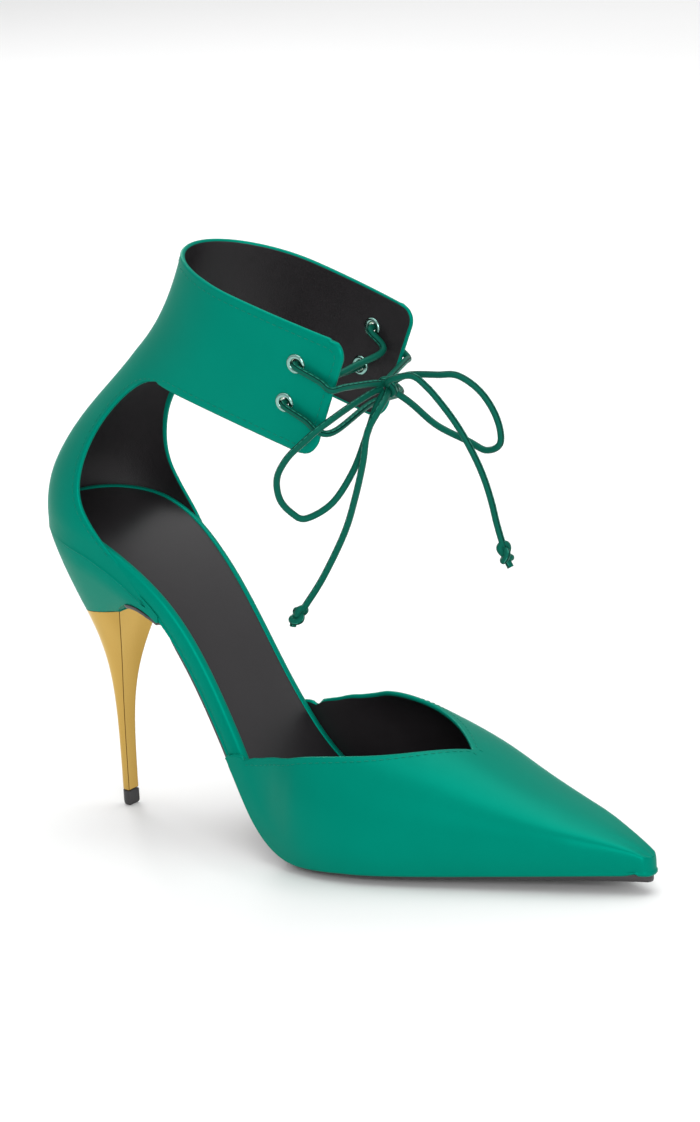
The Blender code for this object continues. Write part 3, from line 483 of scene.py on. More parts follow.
def place_piece(piece: bpy.types.Object, slot: str, *nodes: str) -> bpy.types.Object:
    """Fix a piece to the shoe.

    Args:
        piece: the piece.
        slot: the slot of its finish; not used.
        nodes: the solids that it stands for.

    Returns:
        The piece.
    """
    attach(piece, "root")
    if nodes:
        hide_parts(*nodes)
    log.info("%s: %d faces", piece.name, len(piece.data.polygons))
    return piece


def bevel_edges(piece: bpy.types.Object, width: float, segments: int, angle: float = 40) -> None:
    """Round the crisp edges of a piece.

    Args:
        piece: the piece.
        width: how far in the rounding starts.
        segments: facets across it.
        angle: edges sharper than this many degrees are rounded.
    """
    modifier = piece.modifiers.new("rounding", "BEVEL")
    modifier.width = width
    modifier.segments = segments
    modifier.limit_method = "ANGLE"
    modifier.angle_limit = math.radians(angle)
    modifier.harden_normals = True


def apply_modifiers(piece: bpy.types.Object) -> None:
    """Turn what the modifiers make into the piece's own mesh.

    Args:
        piece: the piece, which keeps no modifier.
    """
    graph = bpy.context.evaluated_depsgraph_get()
    mesh = bpy.data.meshes.new_from_object(piece.evaluated_get(graph))
    piece.modifiers.clear()
    piece.data = mesh


def cut_away(piece: bpy.types.Object, cutter: bpy.types.Object) -> None:
    """Cut one shape out of another with an exact Boolean.

    Args:
        piece: what is cut.
        cutter: what is taken away, and removed afterwards.
    """
    modifier = piece.modifiers.new("cut", "BOOLEAN")
    modifier.operation = "DIFFERENCE"
    modifier.solver = "EXACT"
    modifier.object = cutter
    apply_modifiers(piece)
    bpy.data.objects.remove(cutter)


Number = Union["Value", float]


class Value:
    """Output of a material's node. Sums and products with it add Math nodes."""

    def __init__(self, shader: "Shader", socket: bpy.types.NodeSocket) -> None:
        """Wrap a socket of a shader's tree."""
        self.shader = shader
        self.socket = socket

    def maths(self, operation: str, first: Number, second: Number = 0.0) -> "Value":
        """One Math node on two numbers."""
        return self.shader.node("ShaderNodeMath", {"operation": operation}, {0: first, 1: second})

    def __add__(self, other: Number) -> "Value":
        """Sum."""
        return self.maths("ADD", self, other)

    def __radd__(self, other: Number) -> "Value":
        """Sum with a number in front."""
        return self.maths("ADD", other, self)

    def __sub__(self, other: Number) -> "Value":
        """Difference."""
        return self.maths("SUBTRACT", self, other)

    def __rsub__(self, other: Number) -> "Value":
        """Difference from a number in front."""
        return self.maths("SUBTRACT", other, self)

    def __mul__(self, other: Number) -> "Value":
        """Product."""
        return self.maths("MULTIPLY", self, other)

    def __rmul__(self, other: Number) -> "Value":
        """Product with a number in front."""
        return self.maths("MULTIPLY", other, self)

    def band(self, centre: float, half: float, soft: float) -> "Value":
        """Mask round a value.

        Args:
            centre: the value.
            half: half width of the mask.
            soft: width of its border.

        Returns:
            1 near the value and 0 away from it.
        """
        away = self.maths("ABSOLUTE", self - centre)
        return self.shader.node("ShaderNodeMapRange", {"interpolation_type": "SMOOTHSTEP"},
                                {0: away, 1: half, 2: half + soft, 3: 1.0, 4: 0.0})


class Shader:
    """Node tree of one material round its Principled shader."""

    def __init__(self, name: str) -> None:
        """Start a material.

        Args:
            name: its name.
        """
        self.material = bpy.data.materials.new(name)
        self.material.use_nodes = True
        self.tree = self.material.node_tree
        self.surface = self.tree.nodes["Principled BSDF"]

    def node(self, kind: str, settings: dict[str, object], inputs: dict[Union[int, str], object],
             output: Union[int, str] = 0) -> Value:
        """Add any node.

        Args:
            kind: Blender's name of the node's type.
            settings: properties, set before the sockets; "stops" fills a colour ramp.
            inputs: values or links of its sockets.
            output: the socket that is read.

        Returns:
            The output as a value.
        """
        made = self.tree.nodes.new(kind)
        for key, setting in settings.items():
            if key == "stops":
                ramp = made.color_ramp
                while len(ramp.elements) < len(setting):
                    ramp.elements.new(0.5)
                for element, (place, colour) in zip(ramp.elements, setting):
                    element.position = place
                    element.color = colour
            else:
                setattr(made, key, setting)
        for key, given in inputs.items():
            if isinstance(given, Value):
                self.tree.links.new(given.socket, made.inputs[key])
            else:
                made.inputs[key].default_value = given
        return Value(self, made.outputs[output])

    def places(self, scale: tuple[float, float, float], turn: tuple[float, float, float] = (0, 0, 0)) -> Value:
        """Object coordinates, stretched and turned for a pattern."""
        coordinates = self.node("ShaderNodeTexCoord", {}, {}, "Object")
        return self.node("ShaderNodeMapping", {}, {"Vector": coordinates, "Rotation": turn, "Scale": scale})

    def noise(self, place: Value, scale: float, detail: float = 2.0, rough: float = 0.5) -> Value:
        """Soft noise from 0 to 1."""
        return self.node("ShaderNodeTexNoise", {},
                         {"Vector": place, "Scale": scale, "Detail": detail, "Roughness": rough})

    def blend(self, share: Number, first: object, second: object) -> Value:
        """Mix of two colours."""
        return self.node("ShaderNodeMix", {"data_type": "RGBA"}, {0: share, 6: first, 7: second}, 2)

    def relief(self, height: Value, distance: float, strength: float = 1.0) -> None:
        """Bump, chained after any bump made before.

        Args:
            height: relief from 0 to 1.
            distance: real height of 1.
            strength: share of the bump that shows.
        """
        made = {"Height": height, "Distance": distance, "Strength": strength}
        before = self.surface.inputs["Normal"].links
        if before:
            made["Normal"] = Value(self, before[0].from_socket)
        self.feed("Normal", self.node("ShaderNodeBump", {}, made))

    def feed(self, socket: str, value: Value) -> None:
        """Link a value to a socket of the Principled shader."""
        self.tree.links.new(value.socket, self.surface.inputs[socket])

    def constants(self, **values: object) -> None:
        """Set sockets of the Principled shader, named with underscores."""
        for key, given in values.items():
            self.surface.inputs[key.replace("_", " ").title().replace("Ior", "IOR")].default_value = given


@dataclass(frozen=True)
class Satin:
    """Duchess satin: fine close threads with a soft directional gloss."""

    name: str = "green_satin"
    colour: Colour = (0.0, 0.235, 0.165, 1.0)
    deep: Colour = (0.0, 0.190, 0.132, 1.0)
    thread: float = 5200.0
    roughness: float = 0.40

    def build(self) -> bpy.types.Material:
        """Make the material.

        Returns:
            The satin.
        """
        shader = Shader(self.name)
        shader.constants(Metallic=0.30, Specular_IOR_Level=0.08, Specular_Tint=(0.02, 0.62, 0.46, 1.0),
                         Sheen_Weight=0.04, Sheen_Roughness=0.4, Sheen_Tint=(0.02, 0.85, 0.62, 1.0))
        threads = shader.noise(shader.places((0.22, 0.22, 1.0), (0.0, 0.35, 0.0)), self.thread, 1.0)
        slubs = shader.noise(shader.places((0.12, 0.12, 1.0), (0.0, 0.35, 0.0)), 900.0, 2.0)
        cloud = shader.noise(shader.places((1.0, 1.0, 1.0)), 38.0, 3.0)
        shader.feed("Base Color", shader.blend(cloud * 0.7 + threads * 0.3, self.deep, self.colour))
        shader.feed("Roughness", self.roughness + 0.05 * (cloud - 0.5) + 0.10 * (threads - 0.5))
        shader.relief(threads * 0.7 + slubs * 0.3, 0.02 * MM, 0.8)
        shader.relief(cloud, 0.25 * MM, 0.35)
        return shader.material


@dataclass(frozen=True)
class Leather:
    """Smooth leather with a fine grain and soft wear."""

    name: str
    colour: Colour
    worn: Colour
    roughness: float
    grain: float = 1500.0
    depth: float = 0.03 * MM

    def build(self) -> bpy.types.Material:
        """Make the material.

        Returns:
            The leather.
        """
        shader = Shader(self.name)
        shader.constants(Specular_IOR_Level=0.5)
        even = shader.places((1.0, 1.0, 1.0))
        cells = shader.node("ShaderNodeTexVoronoi", {"feature": "DISTANCE_TO_EDGE"},
                            {"Vector": even, "Scale": self.grain, "Randomness": 0.9})
        creases = cells.band(0.0, 0.02, 0.10)
        cloud = shader.noise(even, 55.0, 4.0, 0.6)
        scuffs = shader.noise(shader.places((1.0, 4.0, 4.0)), 160.0, 3.0, 0.7)
        shader.feed("Base Color", shader.blend(cloud * 0.8 + scuffs * 0.2, self.colour, self.worn))
        shader.feed("Roughness", self.roughness + 0.14 * (cloud - 0.5) + 0.10 * (scuffs - 0.5))
        shader.relief(1 - creases * 0.8 + cloud * 0.2, self.depth, 0.6)
        return shader.material


@dataclass(frozen=True)
class Metal:
    """Polished metal with the faint waviness of plating."""

    name: str
    colour: Colour
    shade: Colour
    roughness: float
    brush: float = 0.0

    def build(self) -> bpy.types.Material:
        """Make the material.

        Returns:
            The metal.
        """
        shader = Shader(self.name)
        shader.constants(Metallic=1.0, Specular_Tint=(1.0, 0.93, 0.72, 1.0))
        waves = shader.noise(shader.places((1.0, 1.0, 0.3)), 90.0, 1.0)
        lines = shader.noise(shader.places((1.0, 1.0, 0.02)), 4200.0, 1.0)
        shader.feed("Base Color", shader.blend(waves, self.colour, self.shade))
        shader.feed("Roughness", self.roughness + 0.05 * (waves - 0.5) + self.brush * (lines - 0.5))
        shader.relief(waves, 0.05 * MM, 0.25)
        return shader.material


@dataclass(frozen=True)
class Rubber:
    """Matte black lift."""

    name: str = "lift_rubber"
    colour: Colour = (0.014, 0.013, 0.014, 1.0)

    def build(self) -> bpy.types.Material:
        """Make the material.

        Returns:
            The rubber.
        """
        shader = Shader(self.name)
        grit = shader.noise(shader.places((1.0, 1.0, 1.0)), 1400.0, 3.0, 0.7)
        shader.feed("Base Color", shader.blend(grit, self.colour, (0.032, 0.031, 0.033, 1.0)))
        shader.feed("Roughness", 0.42 + 0.2 * grit)
        shader.relief(grit, 0.03 * MM, 0.5)
        return shader.material


@dataclass(frozen=True)
class LaceLeather:
    """Round leather lace, folded and stitched along one side, on the tube's own UV map."""

    name: str = "lace_leather_round"
    colour: Colour = (0.003, 0.088, 0.058, 1.0)
    dark: Colour = (0.001, 0.016, 0.012, 1.0)
    stitch: Colour = (0.030, 0.250, 0.175, 1.0)
    pitch: float = 2.2

    def build(self) -> bpy.types.Material:
        """Make the material: the map's u runs round the lace, v along it in millimetres.

        Returns:
            The leather of the lace.
        """
        shader = Shader(self.name)
        shader.constants(Specular_IOR_Level=0.22, Specular_Tint=(0.12, 0.8, 0.62, 1.0))
        uv = shader.node("ShaderNodeUVMap", {"uv_map": "lace"}, {})
        round_it = shader.node("ShaderNodeSeparateXYZ", {}, {0: uv}, 0)
        along_it = shader.node("ShaderNodeSeparateXYZ", {}, {0: uv}, 1)
        groove = round_it.band(0.5, 0.012, 0.025)
        phase = along_it.maths("FRACT", along_it * (1 / self.pitch))
        dash = phase.band(0.5, 0.28, 0.05) * round_it.band(0.56, 0.014, 0.012)
        grain = shader.noise(shader.places((1.0, 1.0, 1.0)), 1300.0, 3.0, 0.6)
        body = shader.blend(groove, self.colour, self.dark)
        shader.feed("Base Color", shader.blend(dash * 0.8, body, self.stitch))
        shader.feed("Roughness", 0.34 + 0.16 * grain)
        shader.relief(1 - groove + dash * 0.5, 0.12 * MM, 0.8)
        shader.relief(grain, 0.02 * MM, 0.5)
        return shader.material


@dataclass(frozen=True)
class Thread:
    """Sewing thread."""

    name: str = "satin_thread"
    colour: Colour = (0.0, 0.150, 0.100, 1.0)

    def build(self) -> bpy.types.Material:
        """Make the material.

        Returns:
            The thread.
        """
        shader = Shader(self.name)
        twist = shader.noise(shader.places((1.0, 1.0, 1.0)), 5200.0, 1.0)
        shader.constants(Specular_IOR_Level=0.15)
        shader.feed("Base Color", shader.blend(twist, self.colour, (0.0, 0.22, 0.15, 1.0)))
        shader.feed("Roughness", 0.40 + 0.15 * twist)
        shader.relief(twist, 0.02 * MM, 0.5)
        return shader.material


@dataclass
class Stitching:
    """Rows of stitches that follow paths on the shoe, laid by Geometry Nodes."""

    pitch: float = 2.3 * MM
    length: float = 1.65 * MM
    thickness: float = 0.17 * MM

    def tree(self) -> bpy.types.NodeTree:
        """Build the node group that lays a stitch at every pitch of each path.

        Returns:
            The group.
        """
        group = bpy.data.node_groups.new("stitch_rows", "GeometryNodeTree")
        face = group.interface
        face.new_socket("Paths", in_out="INPUT", socket_type="NodeSocketGeometry")
        for name in ("Pitch", "Length", "Thickness"):
            face.new_socket(name, in_out="INPUT", socket_type="NodeSocketFloat")
        face.new_socket("Thread", in_out="INPUT", socket_type="NodeSocketMaterial")
        face.new_socket("Stitches", in_out="OUTPUT", socket_type="NodeSocketGeometry")
        nodes, links = group.nodes, group.links
        given = nodes.new("NodeGroupInput")
        made = nodes.new("NodeGroupOutput")
        curve = nodes.new("GeometryNodeMeshToCurve")
        points = nodes.new("GeometryNodeCurveToPoints")
        points.mode = "LENGTH"
        ball = nodes.new("GeometryNodeMeshUVSphere")
        ball.inputs["Segments"].default_value = 6
        ball.inputs["Rings"].default_value = 4
        ball.inputs["Radius"].default_value = 1.0
        half = nodes.new("ShaderNodeMath")
        half.operation = "MULTIPLY"
        half.inputs[1].default_value = 0.5
        size = nodes.new("ShaderNodeCombineXYZ")
        stretch = nodes.new("GeometryNodeTransform")
        copies = nodes.new("GeometryNodeInstanceOnPoints")
        real = nodes.new("GeometryNodeRealizeInstances")
        dress = nodes.new("GeometryNodeSetMaterial")
        links.new(given.outputs["Paths"], curve.inputs[0])
        links.new(curve.outputs[0], points.inputs["Curve"])
        links.new(given.outputs["Pitch"], points.inputs["Length"])
        links.new(given.outputs["Length"], half.inputs[0])
        for axis in ("X", "Y"):
            links.new(given.outputs["Thickness"], size.inputs[axis])
        links.new(half.outputs[0], size.inputs["Z"])
        links.new(ball.outputs["Mesh"], stretch.inputs["Geometry"])
        links.new(size.outputs[0], stretch.inputs["Scale"])
        links.new(points.outputs["Points"], copies.inputs["Points"])
        links.new(points.outputs["Rotation"], copies.inputs["Rotation"])
        links.new(stretch.outputs[0], copies.inputs["Instance"])
        links.new(copies.outputs[0], real.inputs[0])
        links.new(real.outputs[0], dress.inputs["Geometry"])
        links.new(given.outputs["Thread"], dress.inputs["Material"])
        links.new(dress.outputs[0], made.inputs[0])
        return group

    def build(self, name: str, paths: Sequence[Sequence[Vector]],
              thread: bpy.types.Material) -> bpy.types.Object:
        """Lay stitches on every path.

        Args:
            name: name of the piece.
            paths: rows of points on the surface.
            thread: finish of the stitches.

        Returns:
            One mesh of all the stitches.
        """
        points, edges = [], []
        for path in paths:
            start = len(points)
            points += [tuple(p) for p in path]
            edges += [(start + i, start + i + 1) for i in range(len(path) - 1)]
        mesh = bpy.data.meshes.new(name)
        mesh.from_pydata(points, edges, [])
        piece = bpy.data.objects.new(name, mesh)
        bpy.context.collection.objects.link(piece)
        modifier = piece.modifiers.new("stitches", "NODES")
        modifier.node_group = self.tree()
        values = {"Pitch": self.pitch, "Length": self.length, "Thickness": self.thickness, "Thread": thread}
        for item in modifier.node_group.interface.items_tree:
            if item.in_out == "INPUT" and item.name in values:
                modifier[item.identifier] = values[item.name]
        apply_modifiers(piece)
        piece.data.shade_smooth()
        return piece


@dataclass
class Vamp:
    """Pointed front of the upper with its V throat and the wings along the waist."""

    last: Last
    start: float = 77 * MM
    medial_start: float = 73.5 * MM
    throat: float = 158 * MM
    instep: float = 50 * MM
    side_height: float = 8 * MM
    side_bulge: float = 1.1 * MM
    power: float = 2.3
    rows: int = 40
    step: float = 1.7 * MM
    wing_step: float = 0.35 * MM
    wing_steps: int = 5
    wing_reach: float = 2 * MM
    seam_inset: float = 1.7 * MM

    def __post_init__(self) -> None:
        """Read the ridge and the top edge as curves."""
        self.ridge = curve_through(RIDGE, 1)
        self.topline = {-1: curve_through(TOPLINE, 1), 1: curve_through(TOPLINE, 2)}

    def point(self, along: float, side: int, level: float, grow: float) -> Vector:
        """Point of the vamp's form.

        Args:
            along: place along the shoe.
            side: -1 lateral, 1 medial.
            level: -1 at the sole, 0 at the widest, 1 on the ridge.
            grow: how far outside the insole's outline.

        Returns:
            The world point.
        """
        last = self.last
        edge = last.half_width(along, side, grow)
        ridge = self.instep * self.ridge(along / last.length) + grow
        widest = min(self.side_height, 0.45 * ridge)
        bulge = self.side_bulge * min(1.0, edge / (12 * MM))
        if level < 0:
            rise = level + 1
            across = edge + bulge * math.sin(rise * math.pi / 2)
            height = last.gap + (widest - last.gap) * rise
        else:
            angle = level * math.pi / 2
            across = (edge + bulge) * max(0.0, math.cos(angle)) ** (2 / self.power)
            height = widest + (ridge - widest) * math.sin(angle) ** (2 / self.power)
        if level == 1:
            across = 0.0
        return last.place_at(along, side * across, height)

    def top_level(self, along: float, side: int) -> float:
        """Level of the top edge at a place."""
        return min(1.0, self.topline[side](along / self.last.length))

    def strip_place(self, along: float, side: int) -> float:
        """Place of a station on one side: behind the throat the inner wing reaches farther back.

        Args:
            along: the station on the outer side.
            side: -1 lateral, 1 medial.

        Returns:
            Its place along the shoe.
        """
        if side < 0 or along >= self.throat:
            return along
        reach = (self.throat - along) * (self.throat - self.medial_start)
        return self.throat - reach / (self.throat - self.start)

    def skin(self, grow: float) -> tuple[list[Vector], list[Face]]:
        """One skin of the vamp.

        Args:
            grow: how far outside the insole's outline.

        Returns:
            Its points and faces.
        """
        last = self.last
        places = [self.start + k * self.wing_step for k in range(self.wing_steps)]
        places += last.stations(self.start + self.wing_reach, self.throat, self.step, grow)
        throat = len(places) - 1
        places += last.stations(self.throat, last.tip_centre + 1, self.step, grow)[1:]
        verts, faces, index = [], [], {}
        for i, along in enumerate(places):
            for side in (-1, 1):
                place = self.strip_place(along, side)
                top = 1.0 if i >= throat else self.top_level(place, side)
                for j in range(self.rows + 1):
                    if i >= throat and j == self.rows and side == 1:
                        index[i, side, j] = index[i, -1, j]
                        continue
                    index[i, side, j] = len(verts)
                    verts.append(self.point(place, side, -1 + (top + 1) * j / self.rows, grow))
        for i in range(len(places) - 1):
            for j in range(self.rows):
                for side in (-1, 1):
                    face = (index[i, side, j], index[i + 1, side, j], index[i + 1, side, j + 1],
                            index[i, side, j + 1])
                    faces.append(face if side == -1 else tuple(reversed(face)))
        end = len(places) - 1
        for j in range(self.rows):
            face = [index[end, -1, j], index[end, 1, j], index[end, 1, j + 1], index[end, -1, j + 1]]
            faces.append(tuple(dict.fromkeys(face)))
        return verts, faces

    def seam_paths(self) -> list[list[Vector]]:
        """Stitch rows just inside the top edge.

        Returns:
            A path on the outer skin for each side.
        """
        grow = self.last.wall_out + 0.02 * MM
        paths = []
        for side in (-1, 1):
            path = []
            start = self.strip_place(self.start, side)
            for along in np.linspace(start + 3 * MM, self.throat + 1.5 * MM, 90):
                top = self.top_level(along, side)
                down = [self.point(along, side, top - k * 0.02, grow) for k in range(24)]
                path.append(inset_point(down, self.seam_inset))
            paths.append(path)
        return paths

    def build(self, satin: bpy.types.Material, lining: bpy.types.Material) -> bpy.types.Object:
        """Make the vamp.

        Args:
            satin: finish outside and over the fold.
            lining: finish inside.

        Returns:
            The piece.
        """
        outer, faces = self.skin(self.last.wall_out)
        inner, _ = self.skin(self.last.wall_in)
        shape = folded_wall(outer, inner, faces)
        piece = make_object("vamp", shape, (satin, lining), lambda kind: 1 if kind is Skin.INNER else 0, 60)
        return place_piece(piece, "satin", "upper")


@dataclass
class Eyelet:
    """Small metal eyelet: its centre in the wall and the way it faces."""

    name: str
    centre: Vector
    out: Vector
    hole: float = 1.6 * MM
    flange: float = 3.2 * MM
    lip: float = 0.62 * MM
    barrel: float = 2.2 * MM

    def build(self, metal: bpy.types.Material, wall: float) -> bpy.types.Object:
        """Turn the barrel with a rolled lip on each face of the wall.

        Args:
            metal: its finish.
            wall: thickness of the wall.

        Returns:
            The piece.
        """
        profile = []
        middle = (self.hole + self.flange) / 2
        reach = (self.flange - self.hole) / 2
        for face in (1, -1):
            for k in range(9):
                turn = math.pi * k / 8
                turn = turn if face > 0 else math.pi - turn
                profile.append((middle - reach * math.cos(turn), face * (wall / 2 + self.lip * math.sin(turn))))
            if face > 0:
                profile += [(self.barrel, wall / 2), (self.barrel, -wall / 2)]
        turn = Vector((0, 0, 1)).rotation_difference(self.out).to_matrix()
        sections = []
        for i in range(32):
            angle = 2 * math.pi * i / 32
            sections.append([self.centre + turn @ Vector((r * math.cos(angle), r * math.sin(angle), h))
                             for r, h in profile])
        shape = loft(sections, caps=False, closed=True)
        piece = make_object(f"{self.name}_ring", shape, (metal,))
        return place_piece(piece, "eyelet_metal", self.name)

    def drill(self) -> bpy.types.Object:
        """Make the cutter for the hole in the cuff's wall.

        Returns:
            A short round bar through the wall.
        """
        turn = Vector((0, 0, 1)).rotation_difference(self.out).to_matrix()
        sections = [[self.centre + turn @ Vector((self.barrel * math.cos(a), self.barrel * math.sin(a), height))
                     for a in np.linspace(0, 2 * math.pi, 24, endpoint=False)] for height in (-4 * MM, 4 * MM)]
        return make_object("drill", loft(sections), ())


@dataclass
class Quarter:
    """Counter and ankle cuff in one wall, with the open waist between them and the flaps in front."""

    last: Last
    neck_rise: float = 58.6 * MM
    neck_lean: float = 38 * MM
    cut_reach: float = 48 * MM
    cuff_height: float = 34 * MM
    cuff_lean: float = 21.5 * MM
    cuff_half: float = 21.2 * MM
    cuff_front_half: float = 17.2 * MM
    bottom_reach: float = 116 * MM
    top_reach: float = 131 * MM
    corner: float = 5 * MM
    fall: float = 0.305
    roll: float = 0.085
    eyelet_setback: float = 13 * MM
    eyelet_levels: tuple[float, float] = (0.33, 0.69)
    seam_inset: float = 1.7 * MM
    counter_rows: int = 64
    cuff_rows: int = 44
    ring_columns: int = 34
    flap_columns: int = 60

    def __post_init__(self) -> None:
        """Read the tables as curves."""
        self.back, self.width, self.depth, self.cut = (curve_through(COUNTER, k) for k in (1, 2, 3, 4))
        self.lean, self.cuff_width = curve_through(CUFF, 1), curve_through(CUFF, 2)

    @staticmethod
    def lean_factor(curve: Callable[[float], float], up: float, run: float, rise: float) -> float:
        """How much thicker a leaning wall is when it is measured level.

        Args:
            curve: the lean, as a share of the run.
            up: share of the rise.
            run: whole lean of the wall.
            rise: whole height of the wall.

        Returns:
            The factor, 1 or more.
        """
        step = 0.01
        up = min(max(up, 0.02), 0.98)
        return math.hypot(1, (curve(up + step) - curve(up - step)) / (2 * step) * run / rise)

    def ring(self, share: float, extent: float, depth: float, width: float, side: int,
             grow: float) -> tuple[float, float]:
        """Point of a ring that is round behind and runs straight on in front.

        Args:
            share: share of the way from the back to the front end.
            extent: how far forward the ring reaches.
            depth: depth of its round back.
            width: its half width.
            side: -1 lateral, 1 medial.
            grow: how far outside the last.

        Returns:
            Its reach from the back and its place across.
        """
        depth += grow
        width += grow
        if extent <= depth:
            turn = share * math.acos(1 - extent / depth)
            return depth * (1 - math.cos(turn)), width * math.sin(turn)
        quarter = math.pi / 4 * (depth + width)
        run = share * (quarter + extent - depth)
        if run < quarter:
            turn = run / quarter * math.pi / 2
            return depth * (1 - math.cos(turn)), width * math.sin(turn)
        reach = depth + run - quarter
        shares = self.last.width_share[side]
        narrow = shares(min(reach, self.cut_reach) / self.last.length) / shares(depth / self.last.length)
        return reach, width * min(1.0, narrow)

    def counter_point(self, up: float, share: float, side: int, grow: float) -> Vector:
        """Point of the counter's form.

        Args:
            up: 0 at the sole, 1 at the cuff's lower line.
            share: share of the way round, from the back.
            side: -1 lateral, 1 medial.
            grow: how far outside the last.

        Returns:
            The world point.
        """
        last = self.last
        inset = (last.wall_out - grow) * self.lean_factor(self.back, up, self.neck_lean, self.neck_rise)
        back = self.neck_lean * self.back(up) + inset
        extent = self.cut_reach * self.cut(up) - inset
        reach, across = self.ring(share, extent, last.seat_depth * self.depth(up),
                                  last.seat_half * self.width(up), side, grow)
        along = back + reach
        level = min(1.0, up / 0.3)
        fall = (1 - level) * (last.bottom(0) - last.bottom(along)) + level * self.fall * reach
        height = last.bottom(0) + last.gap + self.neck_rise * up - fall
        fade = min(1.0, max(0.0, 2 - up / 0.06))
        if fade > 0:
            foot = last.half_width(along, side, grow)
            across += (foot - across) * fade
            height += last.camber(along, foot) * fade
        return Vector((along - last.length / 2, side * across, height))

    def cuff_end(self, up: float, inset: float = 0.0) -> float:
        """Front edge of the flap, round at the corners.

        Args:
            up: share of the cuff's height.
            inset: how far inside the edge.

        Returns:
            Place along the shoe.
        """
        end = self.bottom_reach + (self.top_reach - self.bottom_reach) * up - inset
        radius = self.corner - inset
        from_edge = min(up, 1 - up) * self.cuff_height - inset
        if from_edge < radius:
            end -= radius - math.sqrt(max(0.0, radius ** 2 - (radius - max(0.0, from_edge)) ** 2))
        return end

    def cuff_surface(self, up: float, reach: float, side: int, grow: float) -> Vector:
        """Point of the cuff's form.

        Args:
            up: share of the cuff's height.
            reach: distance forward from its back.
            side: -1 lateral, 1 medial.
            grow: how far outside the last.

        Returns:
            The world point.
        """
        last = self.last
        inset = (last.wall_out - grow) * self.lean_factor(self.lean, up, self.cuff_lean, self.cuff_height)
        back = self.neck_lean + self.cuff_lean * self.lean(up) + inset
        depth = last.seat_depth * self.depth(1.0) + grow
        width = self.cuff_half * self.cuff_width(up) + grow
        end = self.cuff_end(up) - back
        if reach < depth:
            across = width * math.sqrt(max(0.0, 1 - (1 - reach / depth) ** 2))
        else:
            front = self.cuff_front_half + grow
            across = width - (width - front) * min(1.0, (reach - depth) / (end - depth)) ** 1.6
        fall = self.fall * reach - self.roll * side * across * min(1.0, reach / end) ** 2
        height = last.bottom(0) + last.gap + self.neck_rise + self.cuff_height * up - fall
        return Vector((back + reach - last.length / 2, side * across, height))

    def cuff_point(self, up: float, share: float, side: int, grow: float, shared: bool = False) -> Vector:
        """Point of the cuff by share.

        Args:
            up: share of the cuff's height.
            share: share of the way forward.
            side: -1 lateral, 1 medial.
            grow: how far outside the last.
            shared: whether it is on the ring over the counter, not on the free flap.

        Returns:
            The world point.
        """
        inset = (self.last.wall_out - grow) * self.lean_factor(self.lean, up, self.cuff_lean, self.cuff_height)
        back = self.neck_lean + self.cuff_lean * self.lean(up) + inset
        depth = self.last.seat_depth * self.depth(1.0) + grow
        start = self.cut_reach * self.cut(1.0) - inset
        if shared:
            reach = depth * (1 - math.cos(share * math.acos(1 - start / depth)))
        else:
            reach = start + (self.cuff_end(up) - back - start) * share
        return self.cuff_surface(up, reach, side, grow)

    def eyelets(self) -> list[Eyelet]:
        """Place the eyelets of both flaps.

        Returns:
            The eyelets, in the middle of the wall.
        """
        made = []
        middle = (self.last.wall_in + self.last.wall_out) / 2
        for side in (-1, 1):
            for up, level_name in zip(self.eyelet_levels, ("lower", "upper")):
                end = self.cuff_point(up, 1.0, side, middle)
                start = self.cuff_point(up, 0.0, side, middle)
                share = 1 - self.eyelet_setback / (end.x - start.x)
                centre = self.cuff_point(up, share, side, middle)
                ahead = self.cuff_point(up, share + 0.02, side, middle) - centre
                above = self.cuff_point(up + 0.02, share, side, middle) - centre
                out = ahead.cross(above).normalized()
                if out.y * side < 0:
                    out.negate()
                made.append(Eyelet(f"eyelet_{SIDE_NAMES[side]}_{level_name}", centre, out))
        return made

    def skin(self, grow: float) -> tuple[list[Vector], list[Face]]:
        """One skin of the counter and the cuff.

        Args:
            grow: how far outside the last.

        Returns:
            Its points and faces.
        """
        verts, faces, index = [], [], {}
        ring, flap = self.ring_columns, self.flap_columns
        for r in range(self.counter_rows + 1):
            for c in range(-ring, ring + 1):
                index[r, c] = len(verts)
                side = -1 if c < 0 else 1
                verts.append(self.counter_point(r / self.counter_rows, abs(c) / ring, side, grow))
        base = self.counter_rows
        for r in range(self.cuff_rows + 1):
            up = 0.5 - 0.5 * math.cos(math.pi * r / self.cuff_rows)
            up = 0.5 * up + 0.5 * r / self.cuff_rows
            for c in range(-ring - flap, ring + flap + 1):
                if r == 0 and abs(c) <= ring:
                    continue
                index[base + r, c] = len(verts)
                side = -1 if c < 0 else 1
                shared = abs(c) <= ring
                share = abs(c) / ring if shared else (abs(c) - ring) / flap
                verts.append(self.cuff_point(up, share, side, grow, shared))
        for r in range(base + self.cuff_rows):
            reach = ring if r < base else ring + flap
            for c in range(-reach, reach):
                faces.append((index[r, c], index[r, c + 1], index[r + 1, c + 1], index[r + 1, c]))
        return verts, faces

